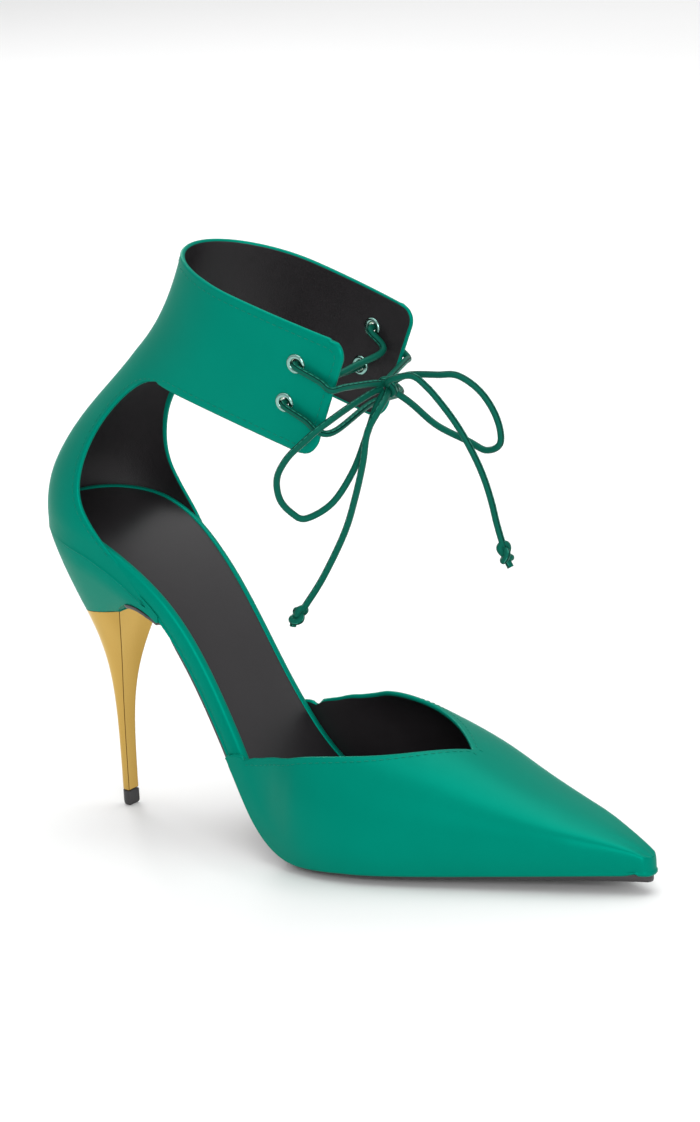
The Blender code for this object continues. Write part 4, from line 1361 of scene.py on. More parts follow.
    def seam_paths(self) -> list[list[Vector]]:
        """Stitch rows just inside the edges of the cuff and the counter.

        Returns:
            A path on the outer skin for each side.
        """
        grow = self.last.wall_out + 0.02 * MM
        low = self.seam_inset / self.cuff_height
        start = self.cut_reach * self.cut(1.0)
        rim = []
        for side in (-1, 1):
            front = []
            for up in np.linspace(1 - low, low, 40):
                back = self.neck_lean + self.cuff_lean * self.lean(up)
                front.append(self.cuff_surface(up, self.cuff_end(up, self.seam_inset) - back, side, grow))
            top_back = self.neck_lean + self.cuff_lean * self.lean(1 - low)
            top = [self.cuff_surface(1 - low, reach, side, grow)
                   for reach in np.linspace(0, self.cuff_end(1 - low, self.seam_inset) - top_back, 90)]
            low_back = self.neck_lean + self.cuff_lean * self.lean(low)
            low_end = self.cuff_end(low, self.seam_inset) - low_back
            under = [self.cuff_surface(low, reach, side, grow)
                     for reach in np.linspace(low_end, start + 3 * MM, 70)]
            waist = []
            for up in np.linspace(0.985, 0.10, 70):
                inward = [self.counter_point(up, 1 - k * 0.02, side, grow) for k in range(20)]
                waist.append(inset_point(inward, self.seam_inset))
            rim.append(top[:-1] + front[:-1] + under + waist)
        return rim

    def build(self, satin: bpy.types.Material, lining: bpy.types.Material,
              eyelets: Sequence[Eyelet]) -> bpy.types.Object:
        """Make the counter and the cuff.

        Args:
            satin: finish outside and over the fold.
            lining: finish inside.
            eyelets: what the holes are cut for.

        Returns:
            The piece.
        """
        outer, faces = self.skin(self.last.wall_out)
        inner, _ = self.skin(self.last.wall_in)
        shape = folded_wall(outer, inner, faces)
        piece = make_object("counter_and_cuff", shape, (satin, lining),
                            lambda kind: 1 if kind is Skin.INNER else 0, 60)
        for eyelet in eyelets:
            cut_away(piece, eyelet.drill())
        return place_piece(piece, "satin", "upper")


@dataclass
class Bottom:
    """Layers under the foot: sock, satin rim band and leather outsole with its flap on the heel."""

    last: Last
    board_top: float = 5.0 * MM
    sock_thick: float = 1.0 * MM
    sock_swell: float = 0.35 * MM
    sock_end: float = 205 * MM
    outsole_grow: float = 1.3 * MM
    edge_thick: float = 1.2 * MM
    block_grow: float = 2.2 * MM
    block_front: float = 52 * MM
    block_curve: float = 1.22
    seam_blend: float = 11 * MM
    flap_start: float = 60 * MM
    flap_end: float = 29.8 * MM
    flap_drop: float = 16.5 * MM
    band_end: float = 111 * MM
    stem_top: float = 69 * MM
    stem_tilt: float = 0.17
    stem_middle: float = 20 * MM
    stem_reach: float = 29 * MM
    stem_half: float = 12.2 * MM
    lift: float = 5 * MM
    sock_inset: float = 1.2 * MM

    # Section of the rim band: how far outside the board's edge, and height, in millimetres
    band_section = ((0.4, 0.2), (1.7, 0.2), (1.86, 0.45), (1.82, 0.9), (1.60, 1.25), (1.80, 1.6), (1.95, 2.3),
                    (2.00, 3.4), (1.95, 4.5), (1.78, 5.5), (1.40, 6.1), (0.80, 6.5), (0.0, 6.7), (-0.7, 6.65),
                    (-1.1, 6.35), (-1.2, 5.9), (-0.9, 5.4), (0.4, 5.2))

    def __post_init__(self) -> None:
        """Read the tables as curves."""
        self.flap_share = curve_through(FLAP, 1)
        self.stem_sizes = tuple(curve_through(STEM, k) for k in (1, 2, 3))

    def sock(self, leather: bpy.types.Material) -> bpy.types.Object:
        """Padded sock over the board, with a rolled edge.

        Args:
            leather: its finish.

        Returns:
            The piece.
        """
        last = self.last
        low, high = self.board_top + last.gap, self.board_top + last.gap + self.sock_thick
        places = last.stations(0.0, self.sock_end, 1.8 * MM, -self.sock_inset)
        columns = 28
        skins = {}
        for height in (high, low):
            skins[height] = []
            for along in places:
                for k in range(columns + 1):
                    share = math.sin((k / columns - 0.5) * math.pi)
                    side = 1 if share > 0 else -1
                    edge = last.half_width(along, side, -self.sock_inset)
                    swell = self.sock_swell * (1 - share ** 4) if height == high else 0.0
                    skins[height].append(last.place_at(along, share * edge, height + swell))
        wide = columns + 1
        faces = [(i * wide + k, i * wide + k + 1, (i + 1) * wide + k + 1, (i + 1) * wide + k)
                 for i in range(len(places) - 1) for k in range(columns)]
        shape = folded_wall(skins[high], skins[low], [tuple(reversed(face)) for face in faces], 3)
        piece = make_object("sock_cover", shape, (leather,), None, 60)
        return place_piece(piece, "lining_leather", "insole_sock")

    def rim_point(self, along: float, side: int, grow: float, height: float) -> Vector:
        """Point beside the insole's edge, at a distance out from it and a height."""
        return self.last.place_at(along, side * self.last.half_width(along, side, grow), height)

    def band(self, satin: bpy.types.Material) -> bpy.types.Object:
        """Band folded over the insole's edge, all round the seat and along the waist.

        Args:
            satin: its finish.

        Returns:
            The piece.
        """
        last = self.last
        rings = {-1: [], 1: []}
        offsets = [(grow * MM, height * MM) for grow, height in self.band_section]
        places = {grow: last.stations(0.0, self.band_end, 1.6 * MM, grow) for grow, _ in offsets}
        count = len(places[offsets[0][0]])
        for side in (-1, 1):
            for i in range(count):
                rings[side].append([self.rim_point(places[grow][i], side, grow, height)
                                    for grow, height in offsets])
        back = last.heel_centre - last.seat_depth
        behind = [last.place_at(back - grow, 0.0, height) for grow, height in offsets]
        shape = loft(list(reversed(rings[-1])) + [behind] + rings[1])
        return place_piece(make_object("rim_band", shape, (satin,), None, 50), "satin")

    def flap_points(self, count: int = 40) -> list[tuple[float, float]]:
        """Top of the outsole's end, from the waist back to the stem.

        Args:
            count: how many points.

        Returns:
            Pairs of place along and height.
        """
        last = self.last
        return [(x, last.bottom(x) - self.flap_drop * self.flap_share(x / last.length))
                for x in np.linspace(self.flap_start, self.flap_end, count)]

    def seat_place(self, share: float) -> float:
        """Walk round the seat, from its back to the block's front.

        Args:
            share: share of the way.

        Returns:
            Place along the shoe.
        """
        reach = self.last.seat_depth + self.block_grow
        quarter = math.pi / 2 * reach
        run = share * (quarter + self.block_front - self.last.heel_centre)
        turn = min(run, quarter) / quarter * math.pi / 2
        return self.last.heel_centre - reach * math.cos(turn) + max(0.0, run - quarter)

    def stem_outline(self, turn: float, up: float) -> tuple[float, float]:
        """Point of the stem's round back.

        Args:
            turn: angle round it, 0 at its back.
            up: share of its height.

        Returns:
            Place along and half width.
        """
        back, front, half = (size(up) for size in self.stem_sizes)
        along = self.stem_reach * (front - (front - back) * math.cos(turn))
        return along, self.stem_half * half * math.sin(turn)

    def stem_height(self, up: float, along: float) -> float:
        """Height of a stem section's point: level at the floor end, tilted at the top."""
        base = self.lift + self.last.gap
        return base + (self.stem_top - base) * up + up * self.stem_tilt * (along - self.stem_middle)

    def block_point(self, share: float, v: float, side: int) -> Vector:
        """Point on the heel block's side.

        Args:
            share: share of the way round the seat, from its back.
            v: 0 at the seat, 1 at the stem.
            side: -1 lateral, 1 medial.

        Returns:
            Place along, across and height.
        """
        last = self.last
        along = self.seat_place(share)
        top = Vector((along, side * last.half_width(along, side, last.wall_out) if share else 0.0,
                      last.bottom(along) + last.gap))
        base = self.stem_outline(share * math.pi / 2, 1.0)
        low = Vector((base[0], side * base[1], self.stem_height(1.0, base[0]) + 0.05 * MM))
        point = top.lerp(low, v ** self.block_curve)
        point.z = top.z + (low.z - top.z) * v
        return point

    def block_half(self, along: float, height: float, side: int) -> float:
        """Half width of the heel block.

        Args:
            along: place along the shoe.
            height: height over the floor.
            side: -1 lateral, 1 medial.

        Returns:
            The half width.
        """
        places, widths = [], []
        for i in range(41):
            top = self.block_point(i / 40, 0.0, side).z
            low = self.block_point(i / 40, 1.0, side).z
            point = self.block_point(i / 40, min(1.0, max(0.0, (top - height) / (top - low))), side)
            places.append(point.x)
            widths.append(abs(point.y))
        return float(np.interp(along, places, widths))

    def outsole(self, leather: bpy.types.Material) -> bpy.types.Object:
        """Thin sole from the toe to its rounded end on the front of the heel.

        Args:
            leather: its finish.

        Returns:
            The piece.
        """
        last = self.last
        flap = list(reversed(self.flap_points(60)))
        path = []
        for i, (x, z) in enumerate(flap):
            ahead, behind = flap[min(i + 1, len(flap) - 1)], flap[max(i - 1, 0)]
            tangent = Vector((ahead[0] - behind[0], 0, ahead[1] - behind[1])).normalized()
            free = min(1.0, self.flap_drop * self.flap_share(x / last.length) / (2 * MM))
            from_end = (x - self.flap_end) / (8.5 * MM)
            end = math.sqrt(max(0.02, 1 - (1 - min(1.0, from_end)) ** 2)) if from_end < 1 else 1.0
            widths = []
            for side in (-1, 1):
                sole = last.half_width(x, side, self.outsole_grow)
                block = min(sole, self.block_half(x, z, side) + 0.5 * MM)
                widths.append((sole + (block - sole) * free) * end)
            path.append((Vector((x, 0, z)), Vector((-tangent.z, 0, tangent.x)), widths))
        waist = self.flap_start + 1.4 * MM
        for along in last.stations(waist, last.tip_centre + 1, 1.6 * MM, self.outsole_grow):
            nx, nz = last.square_to(along)
            widths = [last.half_width(along, side, self.outsole_grow) for side in (-1, 1)]
            path.append((Vector((along, 0, last.bottom(along))), Vector((nx, 0, nz)), widths))
        shares = [math.sin(a) for a in np.linspace(-math.pi / 2, math.pi / 2, 25)]
        sections = []
        for base, up, widths in path:
            top, under = [], []
            for c in shares:
                across = c * widths[0 if c < 0 else 1]
                inner = min(1.0, (1 - abs(c)) / 0.25)
                round_edge = math.sqrt(1 - (1 - min(1.0, inner * 6)) ** 2)
                thick = self.edge_thick + (last.outsole_thick - self.edge_thick) * inner ** 0.7
                point = base + up * last.camber(base.x, across) + Vector((-last.length / 2, across, 0))
                top.append(point)
                under.append(point - up * thick * (0.35 + 0.65 * round_edge))
            sections.append(top + list(reversed(under)))
        piece = make_object("outsole_leather", loft(sections), (leather,), None, 50)
        return place_piece(piece, "sole_leather", "outsole")

    def block(self, satin: bpy.types.Material) -> bpy.types.Object:
        """Covered heel block: its top tucks under the counter and runs on from it without a step.

        Args:
            satin: its finish.

        Returns:
            The piece.
        """
        last = self.last
        turns, rows, tuck = 30, 40, 5
        sections = []
        for r in range(-tuck, rows + 1):
            section = []
            for k in range(-turns, turns + 1):
                side = 1 if k > 0 else -1
                share = abs(k) / turns
                if r >= 0:
                    point = self.block_point(share, r / rows, side)
                    point.x -= last.length / 2
                else:
                    seam = self.block_point(share, 0.0, side)
                    point = Vector((seam.x - last.length / 2, seam.y * (1 + 0.0006 * r),
                                    seam.z - 0.45 * MM * r))
                section.append(point)
            sections.append(section)
        size = 2 * turns + 1
        faces = []
        for r in range(len(sections) - 1):
            for j in range(size):
                k = (j + 1) % size
                faces.append((r * size + j, r * size + k, (r + 1) * size + k, (r + 1) * size + j))
        low = (len(sections) - 1) * size
        for start in (0, low):
            for j in range(turns):
                face = (start + j, start + j + 1, start + size - 2 - j, start + size - 1 - j)
                face = tuple(dict.fromkeys(face))
                if len(face) > 2:
                    faces.append(face if start == 0 else tuple(reversed(face)))
        shape = Shape()
        shape.add([p for section in sections for p in section], faces)
        piece = make_object("heel_block_cover", shape, (satin,), None, 45)
        line = [(x, z + 0.05 * MM) for x, z in self.flap_points(60)]
        line += [(self.flap_end - 0.05 * MM, line[-1][1]), (self.flap_end - 0.05 * MM, 40 * MM),
                 (self.flap_start + 9 * MM, 40 * MM)]
        walls = [[Vector((x - last.length / 2, y, z)) for x, z in line] for y in (-40 * MM, 40 * MM)]
        cut_away(piece, make_object("flap_space", loft(walls), ()))
        piece.data.shade_smooth()
        piece.data.set_sharp_from_angle(angle=math.radians(45))
        return place_piece(piece, "satin", "heel_block")

    def seat_seam(self) -> list[tuple[Vector, Vector]]:
        """Line where the counter meets the heel block.

        Returns:
            Its points, each with the mean direction of both surfaces.
        """
        seam = []
        upright = Vector((0, 0, 1))
        for side in (-1, 1):
            for share in np.linspace(0.02, 1.0, 60):
                place = self.block_world(share, 0.0, side)
                ahead = self.block_world(min(1.0, share + 0.02), 0.0, side)
                along = ahead - self.block_world(share - 0.02, 0.0, side)
                down = self.block_world(share, 0.12, side) - self.block_world(share, 0.02, side)
                out = along.cross(down).normalized() - along.cross(upright).normalized()
                if out.dot(Vector((place.x - self.last.heel_centre + self.last.length / 2, place.y, 0))) < 0:
                    out.negate()
                seam.append((place, out.normalized()))
        return seam

    def block_world(self, share: float, v: float, side: int) -> Vector:
        """Point on the heel block's side, in world coordinates.

        Args:
            share: share of the way round the seat, from its back.
            v: 0 at the seat, 1 at the stem.
            side: -1 lateral, 1 medial.

        Returns:
            The world point.
        """
        point = self.block_point(share, v, side)
        point.x -= self.last.length / 2
        return point

    def stem_section(self, up: float) -> list[tuple[float, float]]:
        """Closed section of the stem: a round back, two ridges and a slightly hollow front.

        Args:
            up: share of the stem's height.

        Returns:
            Pairs of place along and across.
        """
        points = []
        for i in range(-28, 29):
            x, y = self.stem_outline(abs(i) / 28 * math.pi / 2, up)
            points.append((x, y if i > 0 else -y))
        x, y = points[-1]
        for c in np.linspace(0.9, -0.9, 13):
            points.append((x - 0.075 * y * (1 - c * c), y * c))
        return points

    def stem(self, gold: bpy.types.Material, edge: bpy.types.Material) -> bpy.types.Object:
        """Polished metal stem.

        Args:
            gold: its finish.
            edge: darker gold on the rounded ridges, a painted dark reflection along them.

        Returns:
            The piece.
        """
        sections = [[Vector((x - self.last.length / 2, y, self.stem_height(up, x)))
                     for x, y in self.stem_section(up)] for up in np.linspace(0, 1, 70)]
        piece = make_object("stem_sleeve", loft(sections), (gold, edge), None, 50)
        bevel_edges(piece, 0.2 * MM, 2, 50)
        # the rounded ridges take the darker gold: a painted dark reflection
        piece.modifiers["rounding"].material = 1
        apply_modifiers(piece)
        return place_piece(piece, "polished_gold", "heel_stem")

    def top_piece(self, rubber: bpy.types.Material) -> bpy.types.Object:
        """Black lift with rounded lower edges.

        Args:
            rubber: its finish.

        Returns:
            The piece.
        """
        centre = self.stem_section(0.0)
        middle = sum(x for x, _ in centre) / len(centre)
        sections = []
        for height, share in ((0.0, 0.74), (0.12, 0.84), (0.4, 0.94), (0.9, 1.0), (1.6, 1.02), (4.6, 1.02),
                              (4.9, 1.0), (5.05, 0.94)):
            sections.append([Vector((middle + (x - middle) * share - self.last.length / 2, y * share,
                                     height * MM)) for x, y in centre])
        piece = make_object("lift", loft(sections), (rubber,), None, 40)
        return place_piece(piece, "top_piece_rubber", "top_piece")


@dataclass
class Lacing:
    """The lace: threaded through the eyelets, tied in a bow in front, with a knot at each tip."""

    quarter: Quarter
    eyelets: Sequence[Eyelet]
    radius: float = 1.08 * MM
    clear: float = 0.6 * MM
    knot_ahead: float = 8.2 * MM
    knot_level: float = 0.52
    sides: int = 16

    def __post_init__(self) -> None:
        """Find the knot's place in front of the flaps."""
        wall = self.quarter.last.wall_out
        corners = [self.quarter.cuff_point(self.knot_level, 1.0, side, wall) for side in (-1, 1)]
        self.knot = Vector((max(c.x for c in corners) + self.knot_ahead, 0.0, min(c.z for c in corners)))
        self.holes = {eyelet.name: eyelet for eyelet in self.eyelets}

    def tube(self, points: Sequence[Vector], seam: Vector) -> tuple[Shape, list[tuple[float, float]]]:
        """Round tube along a route.

        Args:
            points: ring centres.
            seam: direction that the stitched side faces at the start.

        Returns:
            The tube and the (u, v) of every corner: u round it, v along it in millimetres.
        """
        shape = Shape()
        size = self.sides
        across = None
        for i, place in enumerate(points):
            run = (points[min(i + 1, len(points) - 1)] - points[max(i - 1, 0)]).normalized()
            across = seam.copy() if across is None else across
            across = (across - run * across.dot(run)).normalized()
            up = across.cross(run)
            shape.points += [place - self.radius * (across * math.cos(a) + up * math.sin(a))
                             for a in (2 * math.pi * k / size for k in range(size))]
        walked = 0.0
        marks = []
        for i in range(len(points) - 1):
            ahead = walked + (points[i + 1] - points[i]).length / MM
            for k in range(size):
                n = (k + 1) % size
                shape.faces.append((i * size + k, i * size + n, (i + 1) * size + n, (i + 1) * size + k))
                near, far = k / size, (k + 1) / size
                marks += [(near, walked), (far, walked), (far, ahead), (near, ahead)]
            walked = ahead
        last = (len(points) - 1) * size
        shape.faces += [tuple(reversed(range(size))), tuple(range(last, last + size))]
        marks += [(0.2, 0.0)] * (2 * size)
        return shape, marks

    def tubes(self, name: str, routes: Sequence[Sequence[Vector]], seam: Vector,
              leather: bpy.types.Material) -> bpy.types.Object:
        """Tubes along several routes, with the lace's own UV map.

        Args:
            name: name of the piece.
            routes: ring centres of each tube.
            seam: direction that the stitched side faces at the start.
            leather: finish.

        Returns:
            One mesh of all the tubes.
        """
        points, faces, marks = [], [], []
        for route in routes:
            shape, corners = self.tube(route, seam)
            faces += [tuple(len(points) + i for i in face) for face in shape.faces]
            points += shape.points
            marks += corners
        mesh = bpy.data.meshes.new(name)
        mesh.from_pydata([tuple(p) for p in points], [], faces)
        layer = mesh.uv_layers.new(name="lace")
        layer.data.foreach_set("uv", [number for mark in marks for number in mark])
        mesh.materials.append(leather)
        mesh.shade_smooth()
        mesh.set_sharp_from_angle(angle=math.radians(60))
        worked = bmesh.new()
        worked.from_mesh(mesh)
        bmesh.ops.recalc_face_normals(worked, faces=worked.faces)
        worked.to_mesh(mesh)
        worked.free()
        piece = bpy.data.objects.new(name, mesh)
        bpy.context.collection.objects.link(piece)
        return piece

    def leave(self, eyelet: Eyelet, towards: Vector, out: float) -> list[Vector]:
        """Way of the lace through an eyelet and along the wall.

        Args:
            eyelet: the eyelet.
            towards: where it goes next.
            out: 1 to the outside of the cuff, -1 to its inside.

        Returns:
            Points of the route.
        """
        run = towards - eyelet.centre
        run = (run - eyelet.out * run.dot(eyelet.out)).normalized()
        axis = eyelet.out * out
        return [eyelet.centre - axis * 1.0 * MM, eyelet.centre + axis * 1.3 * MM + run * 0.2 * MM,
                eyelet.centre + axis * 2.7 * MM + run * 1.5 * MM]

    def bar_route(self) -> list[Vector]:
        """Outer bar between the two lower eyelets, in front of the open ankle.

        Returns:
            Points of the route.
        """
        quarter = self.quarter
        level = quarter.eyelet_levels[0]
        clear = quarter.last.wall_out + self.radius + 2 * self.clear
        wall = quarter.last.wall_out
        front = max(quarter.cuff_point(level, 1.0, side, wall).x for side in (-1, 1))
        halves = {}
        for side in (-1, 1):
            corner = quarter.cuff_point(level - 0.06, 1.0, side, clear)
            hole = self.holes[f"eyelet_{SIDE_NAMES[side]}_lower"]
            over = quarter.cuff_point(level - 0.03, 0.92, side, clear - 0.8 * MM)
            around = Vector((front + self.radius + 3 * self.clear, corner.y * 0.78, corner.z - 0.6 * MM))
            halves[side] = self.leave(hole, over, 1.0) + [over, corner + Vector((0.8 * MM, 0, 0)), around]
        left, right = (self.holes[f"eyelet_{SIDE_NAMES[side]}_lower"].centre for side in (-1, 1))
        middle = Vector((front + 4.5 * MM, 0.0, (left.z + right.z) / 2 - 5 * MM))
        return smooth_route(halves[-1] + [middle] + list(reversed(halves[1])), 0.8 * MM)

    def cross_route(self, start: str, end: str, sag: Vector, turn: Vector) -> list[Vector]:
        """Run inside the ankle from a lower eyelet to the upper eyelet of the other flap.

        Args:
            start: name of the lower eyelet.
            end: name of the upper eyelet.
            sag: how far the run's middle lies off the straight line.
            turn: way it takes from the upper eyelet before it turns across.

        Returns:
            Points of the run.
        """
        a, b = self.holes[start], self.holes[end]
        middle = (a.centre + b.centre) / 2 + sag
        near_end = b.centre - b.out * 3.5 * MM + turn
        return smooth_route(self.leave(a, middle, -1.0) + [middle, near_end]
                            + list(reversed(self.leave(b, near_end, -1.0))), 0.8 * MM)

    def run_route(self, side: int, rise: tuple[float, float]) -> list[Vector]:
        """Outer run from an upper eyelet round the flap's edge to the knot.

        Args:
            side: -1 lateral, 1 medial.
            rise: how far over the knot's level it passes the wall and its edge.

        Returns:
            Points of the route.
        """
        quarter = self.quarter
        clear = quarter.last.wall_out + self.radius + 2 * self.clear
        hole = self.holes[f"eyelet_{SIDE_NAMES[side]}_upper"]
        over = quarter.cuff_point(self.knot_level + rise[0], 0.93, side, clear - 0.8 * MM)
        corner = quarter.cuff_point(self.knot_level + rise[1], 1.0, side, clear)
        near = self.knot + Vector((-1.8, side * 5.0, 2.2)) * MM
        return smooth_route(self.leave(hole, over, 1.0) + [
            over, corner + Vector((0.8 * MM, 0, 0)),
            Vector((corner.x + self.radius + 3 * self.clear, corner.y * 0.78, corner.z)), near,
            self.knot + Vector((-0.6, side * 0.6, 1.2)) * MM], 0.8 * MM)

    def tip_knot(self, name: str, tip: Vector, before: Vector, leather: bpy.types.Material) -> bpy.types.Object:
        """Small overhand knot with a short tail.

        Args:
            name: name of the piece.
            tip: end of the lace.
            before: a point shortly before it.
            leather: finish.

        Returns:
            The piece.
        """
        run = (tip - before).normalized()
        turn = Vector((0, 0, 1)).rotation_difference(run).to_matrix()
        size = 0.85 * MM
        loop = []
        for i in range(73):
            t = 2 * math.pi * i / 72
            loop.append(tip + run * 1.5 * MM + turn @ Vector((
                size * 1.15 * math.sin(3 * t) * 1.1, size * (math.sin(t) + 2 * math.sin(2 * t)),
                size * 1.15 * (math.cos(t) - 2 * math.cos(2 * t)))))
        tail = smooth_route([tip + run * 1.5 * MM, tip + run * 4 * MM,
                             tip + run * 5.6 * MM + Vector((0.6, 0, -0.5)) * MM], 0.8 * MM)
        return self.tubes(name, (loop, tail), Vector((0, -1, 0)), leather)

    def build(self, leather: bpy.types.Material) -> None:
        """Make the threaded lace, the knot, the loops and the ends.

        Args:
            leather: finish of them all.
        """
        seam = Vector((-0.3, -0.7, 0.65)).normalized()
        routes = [self.bar_route(),
                  self.cross_route("eyelet_lateral_lower", "eyelet_medial_upper", Vector((5.5, 4, -1.5)) * MM,
                                   Vector((6.0, 0, -6.5)) * MM),
                  self.cross_route("eyelet_medial_lower", "eyelet_lateral_upper", Vector((1.5, 0, -3.5)) * MM,
                                   Vector((3.0, 1.5, -5.0)) * MM)]
        threaded = self.tubes("threaded_lace", routes, seam, leather)
        place_piece(threaded, "lace_leather", "lace_bar", "lace_cross")
        runs = self.tubes("knot_runs", (self.run_route(-1, (0.15, 0.13)), self.run_route(1, (0.09, 0.03))), seam,
                          leather)
        place_piece(runs, "lace_leather", "lace_run_lateral", "lace_run_medial")
        wrap = smooth_route([self.knot + Vector(row) * MM for row in KNOT_ROUTE], 0.6 * MM)
        belt = [self.knot + Vector((2.0 * math.cos(a) + 0.6, 2.3 * math.sin(a) * 0.6, -2.3 * math.sin(a))) * MM
                for a in np.linspace(-2.2, 2.2, 22)]
        knot = self.tubes("bow_knot", (wrap, belt), seam, leather)
        place_piece(knot, "lace_leather", "lace_knot")
        for name, rows in BOW_ROUTES.items():
            ahead = [self.knot + Vector(row) * MM for row in rows]
            ahead[0] = ahead[0].lerp(self.knot, 0.5)
            if name.startswith("loop"):
                ahead[-1] = ahead[-1].lerp(self.knot, 0.5)
            route = smooth_route(ahead, 1.0 * MM)
            piece = self.tubes(f"bow_{name}", (route,), seam, leather)
            place_piece(piece, "lace_leather", f"lace_{name}")
            carried = [knot, runs] if name == "loop_lateral" else []
            if name.startswith("end"):
                carried.append(self.tip_knot(f"tip_knot_{name[4:]}", route[-1], route[-3], leather))
                place_piece(carried[-1], "lace_leather")
            2 * self.radius


@dataclass
class Studio:
    """Pale floor, soft lights and the camera at the photograph's angle to the shoe."""

    turn: float = 36.5
    lift: float = 15.5
    roll: float = 3.5
    distance: float = 1.7
    scale: float = 3170.0
    picture_height: int = 1122
    sensor: float = 36.0
    target: Vector = field(default_factory=lambda: Vector((-5.5, 0.0, 100.0)) * MM)
    shift: tuple[float, float] = (6.7 * MM, -6.7 * MM)

    def camera(self) -> None:
        """Aim the camera; its scale is in pixels of the picture per metre."""
        turn, lift, roll = (math.radians(a) for a in (self.turn, self.lift, self.roll))
        back = Vector((math.sin(turn) * math.cos(lift), -math.cos(turn) * math.cos(lift), math.sin(lift)))
        right = Vector((math.cos(turn), math.sin(turn), 0.0))
        up = back.cross(right)
        right, up = (math.cos(roll) * right - math.sin(roll) * up, math.sin(roll) * right + math.cos(roll) * up)
        aim = self.target + right * self.shift[0] + up * self.shift[1]
        data = bpy.data.cameras.new("camera")
        data.sensor_fit = "VERTICAL"
        data.sensor_height = self.sensor
        data.lens = self.scale * self.distance * self.sensor / self.picture_height
        camera = bpy.data.objects.new("camera", data)
        turned = Matrix((right, up, back)).transposed().to_4x4()
        camera.matrix_world = Matrix.Translation(aim + back * self.distance) @ turned
        bpy.context.collection.objects.link(camera)
        bpy.context.scene.camera = camera

    def floor(self) -> None:
        """Plain pale floor under the shoe."""
        shader = Shader("pale_floor")
        dust = shader.noise(shader.places((1.0, 1.0, 1.0)), 6.0, 3.0)
        shader.feed("Base Color", shader.blend(dust, (0.84, 0.84, 0.84, 1.0), (0.86, 0.86, 0.86, 1.0)))
        shader.constants(Roughness=0.6)
        mesh = bpy.data.meshes.new("floor")
        mesh.from_pydata([(-6, -6, 0), (6, -6, 0), (6, 6, 0), (-6, 6, 0)], [], [(0, 1, 2, 3)])
        mesh.materials.append(shader.material)
        floor = bpy.data.objects.new("floor", mesh)
        bpy.context.collection.objects.link(floor)

    def light(self, name: str, place: tuple[float, float, float], size: float, power: float) -> None:
        """Soft square light that looks at the shoe.

        Args:
            name: its name.
            place: where it stands.
            size: its side.
            power: in watts.
        """
        data = bpy.data.lights.new(name, "AREA")
        data.size = size
        data.energy = power
        lamp = bpy.data.objects.new(name, data)
        lamp.location = place
        lamp.rotation_euler = (self.target - Vector(place)).to_track_quat("-Z", "Y").to_euler()
        bpy.context.collection.objects.link(lamp)

    def build(self) -> None:
        """Set up the camera, the floor, the lights and an even pale surround."""
        self.camera()
        self.floor()
        self.light("top", (0.1, 0.3, 1.9), 1.6, 20.0)
        self.light("key", (0.9, -1.1, 0.55), 0.6, 9.0)
        self.light("rear", (-1.1, 0.8, 0.75), 0.5, 5.0)
        world = bpy.data.worlds.new("surround")
        world.use_nodes = True
        tree = world.node_tree
        place = tree.nodes.new("ShaderNodeTexCoord")
        axes = tree.nodes.new("ShaderNodeSeparateXYZ")
        ramp = tree.nodes.new("ShaderNodeValToRGB")
        tree.links.new(place.outputs["Generated"], axes.inputs[0])
        tree.links.new(axes.outputs["Z"], ramp.inputs[0])
        tree.links.new(ramp.outputs[0], tree.nodes["Background"].inputs["Color"])
        ramp.color_ramp.elements[0].color = (0.55, 0.55, 0.56, 1.0)
        ramp.color_ramp.elements[1].position = 0.45
        ramp.color_ramp.elements[1].color = (1.0, 1.0, 1.0, 1.0)
        tree.nodes["Background"].inputs["Strength"].default_value = 0.75
        bpy.context.scene.world = world
        bpy.context.scene.view_settings.view_transform = "Standard"


def blend_seam(pieces: Sequence[bpy.types.Object], seam: Sequence[tuple[Vector, Vector]],
               reach: float) -> None:
    """Shade two surfaces that meet in one soft bend, as cloth drawn over both.

    Args:
        pieces: the meshes that meet.
        seam: points of the seam, each with the direction that the cloth faces there.
        reach: how far from the seam the shading is blended.
    """
    tree = KDTree(len(seam))
    for i, (place, _) in enumerate(seam):
        tree.insert(place, i)
    tree.balance()
    for piece in pieces:
        mesh = piece.data
        normals = [corner.vector.copy() for corner in mesh.corner_normals]
        for corner, vertex in enumerate(loop.vertex_index for loop in mesh.loops):
            _, i, far = tree.find(mesh.vertices[vertex].co)
            out = seam[i][1]
            if far < reach and normals[corner].dot(out) > 0.7:
                share = (1 - far / reach) ** 2 * (1 + 2 * far / reach)
                normals[corner] = normals[corner].lerp(out, share).normalized()
        mesh.normals_split_custom_set(normals)


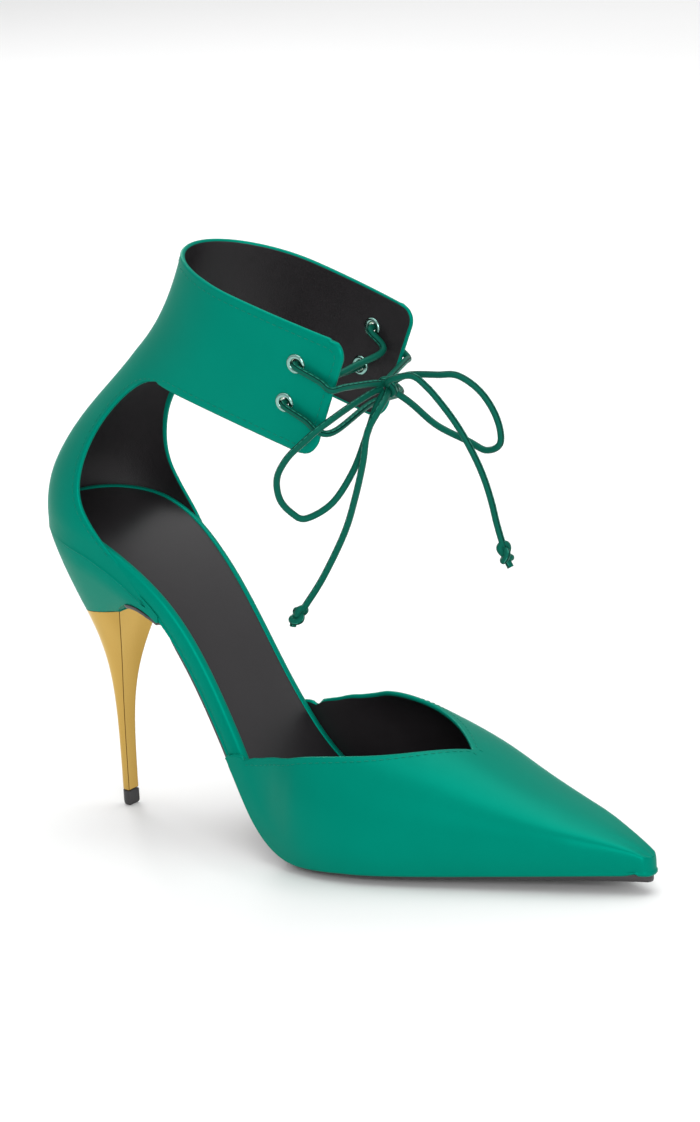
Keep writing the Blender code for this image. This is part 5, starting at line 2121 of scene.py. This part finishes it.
def redress(node: str, finish: bpy.types.Material) -> None:
    """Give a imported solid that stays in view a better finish.

    Args:
        node: name of the solid.
        finish: what all its slots take.
    """
    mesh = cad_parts[node].data
    for i in range(max(1, len(mesh.materials))):
        if i < len(mesh.materials):
            mesh.materials[i] = finish
        else:
            mesh.materials.append(finish)


def main() -> None:
    """Dress the shoe piece by piece and set up the studio."""
    logging.basicConfig(level=logging.INFO, format="%(message)s")
    satin = Satin().build()
    lining = Leather("black_lining", (0.006, 0.005, 0.006, 1.0), (0.014, 0.011, 0.013, 1.0), 0.50, 1700.0).build()
    sock_leather = Leather("black_sock", (0.008, 0.007, 0.008, 1.0), (0.016, 0.014, 0.016, 1.0), 0.36, 2100.0,
                           0.02 * MM).build()
    sole_leather = Leather("dark_sole", (0.020, 0.018, 0.020, 1.0), (0.042, 0.038, 0.041, 1.0), 0.42,
                           900.0).build()
    gold = Metal("gold_plating", (0.59, 0.38, 0.105, 1.0), (0.46, 0.28, 0.062, 1.0), 0.16, 0.05).build()
    # darker gold for the stem's ridges: a painted dark reflection, not the metal's own colour
    edge = Metal("gold_in_shade", (0.16, 0.085, 0.02, 1.0), (0.09, 0.045, 0.012, 1.0), 0.22).build()
    steel = Metal("eyelet_plating", (0.36, 0.58, 0.52, 1.0), (0.18, 0.38, 0.33, 1.0), 0.18).build()
    lace = LaceLeather().build()
    thread = Thread().build()

    last = Last()
    quarter = Quarter(last)
    eyelets = quarter.eyelets()
    Studio().build()
    Lacing(quarter, eyelets).build(lace)
    vamp = Vamp(last)
    vamp.build(satin, lining)
    counter = quarter.build(satin, lining, eyelets)
    for eyelet in eyelets:
        eyelet.build(steel, last.wall_out - last.wall_in)
    bottom = Bottom(last)
    bottom.sock(sock_leather)
    bottom.band(satin)
    bottom.outsole(sole_leather)
    block = bottom.block(satin)
    blend_seam((counter, block), bottom.seat_seam(), bottom.seam_blend)
    bottom.stem(gold, edge)
    bottom.top_piece(Rubber().build())
    seams = Stitching().build("edge_stitches", vamp.seam_paths() + quarter.seam_paths(), thread)
    place_piece(seams, "satin")
    redress("insole_board", satin)
    redress("sole_plate", gold)


if __name__ == "__main__":
    main()
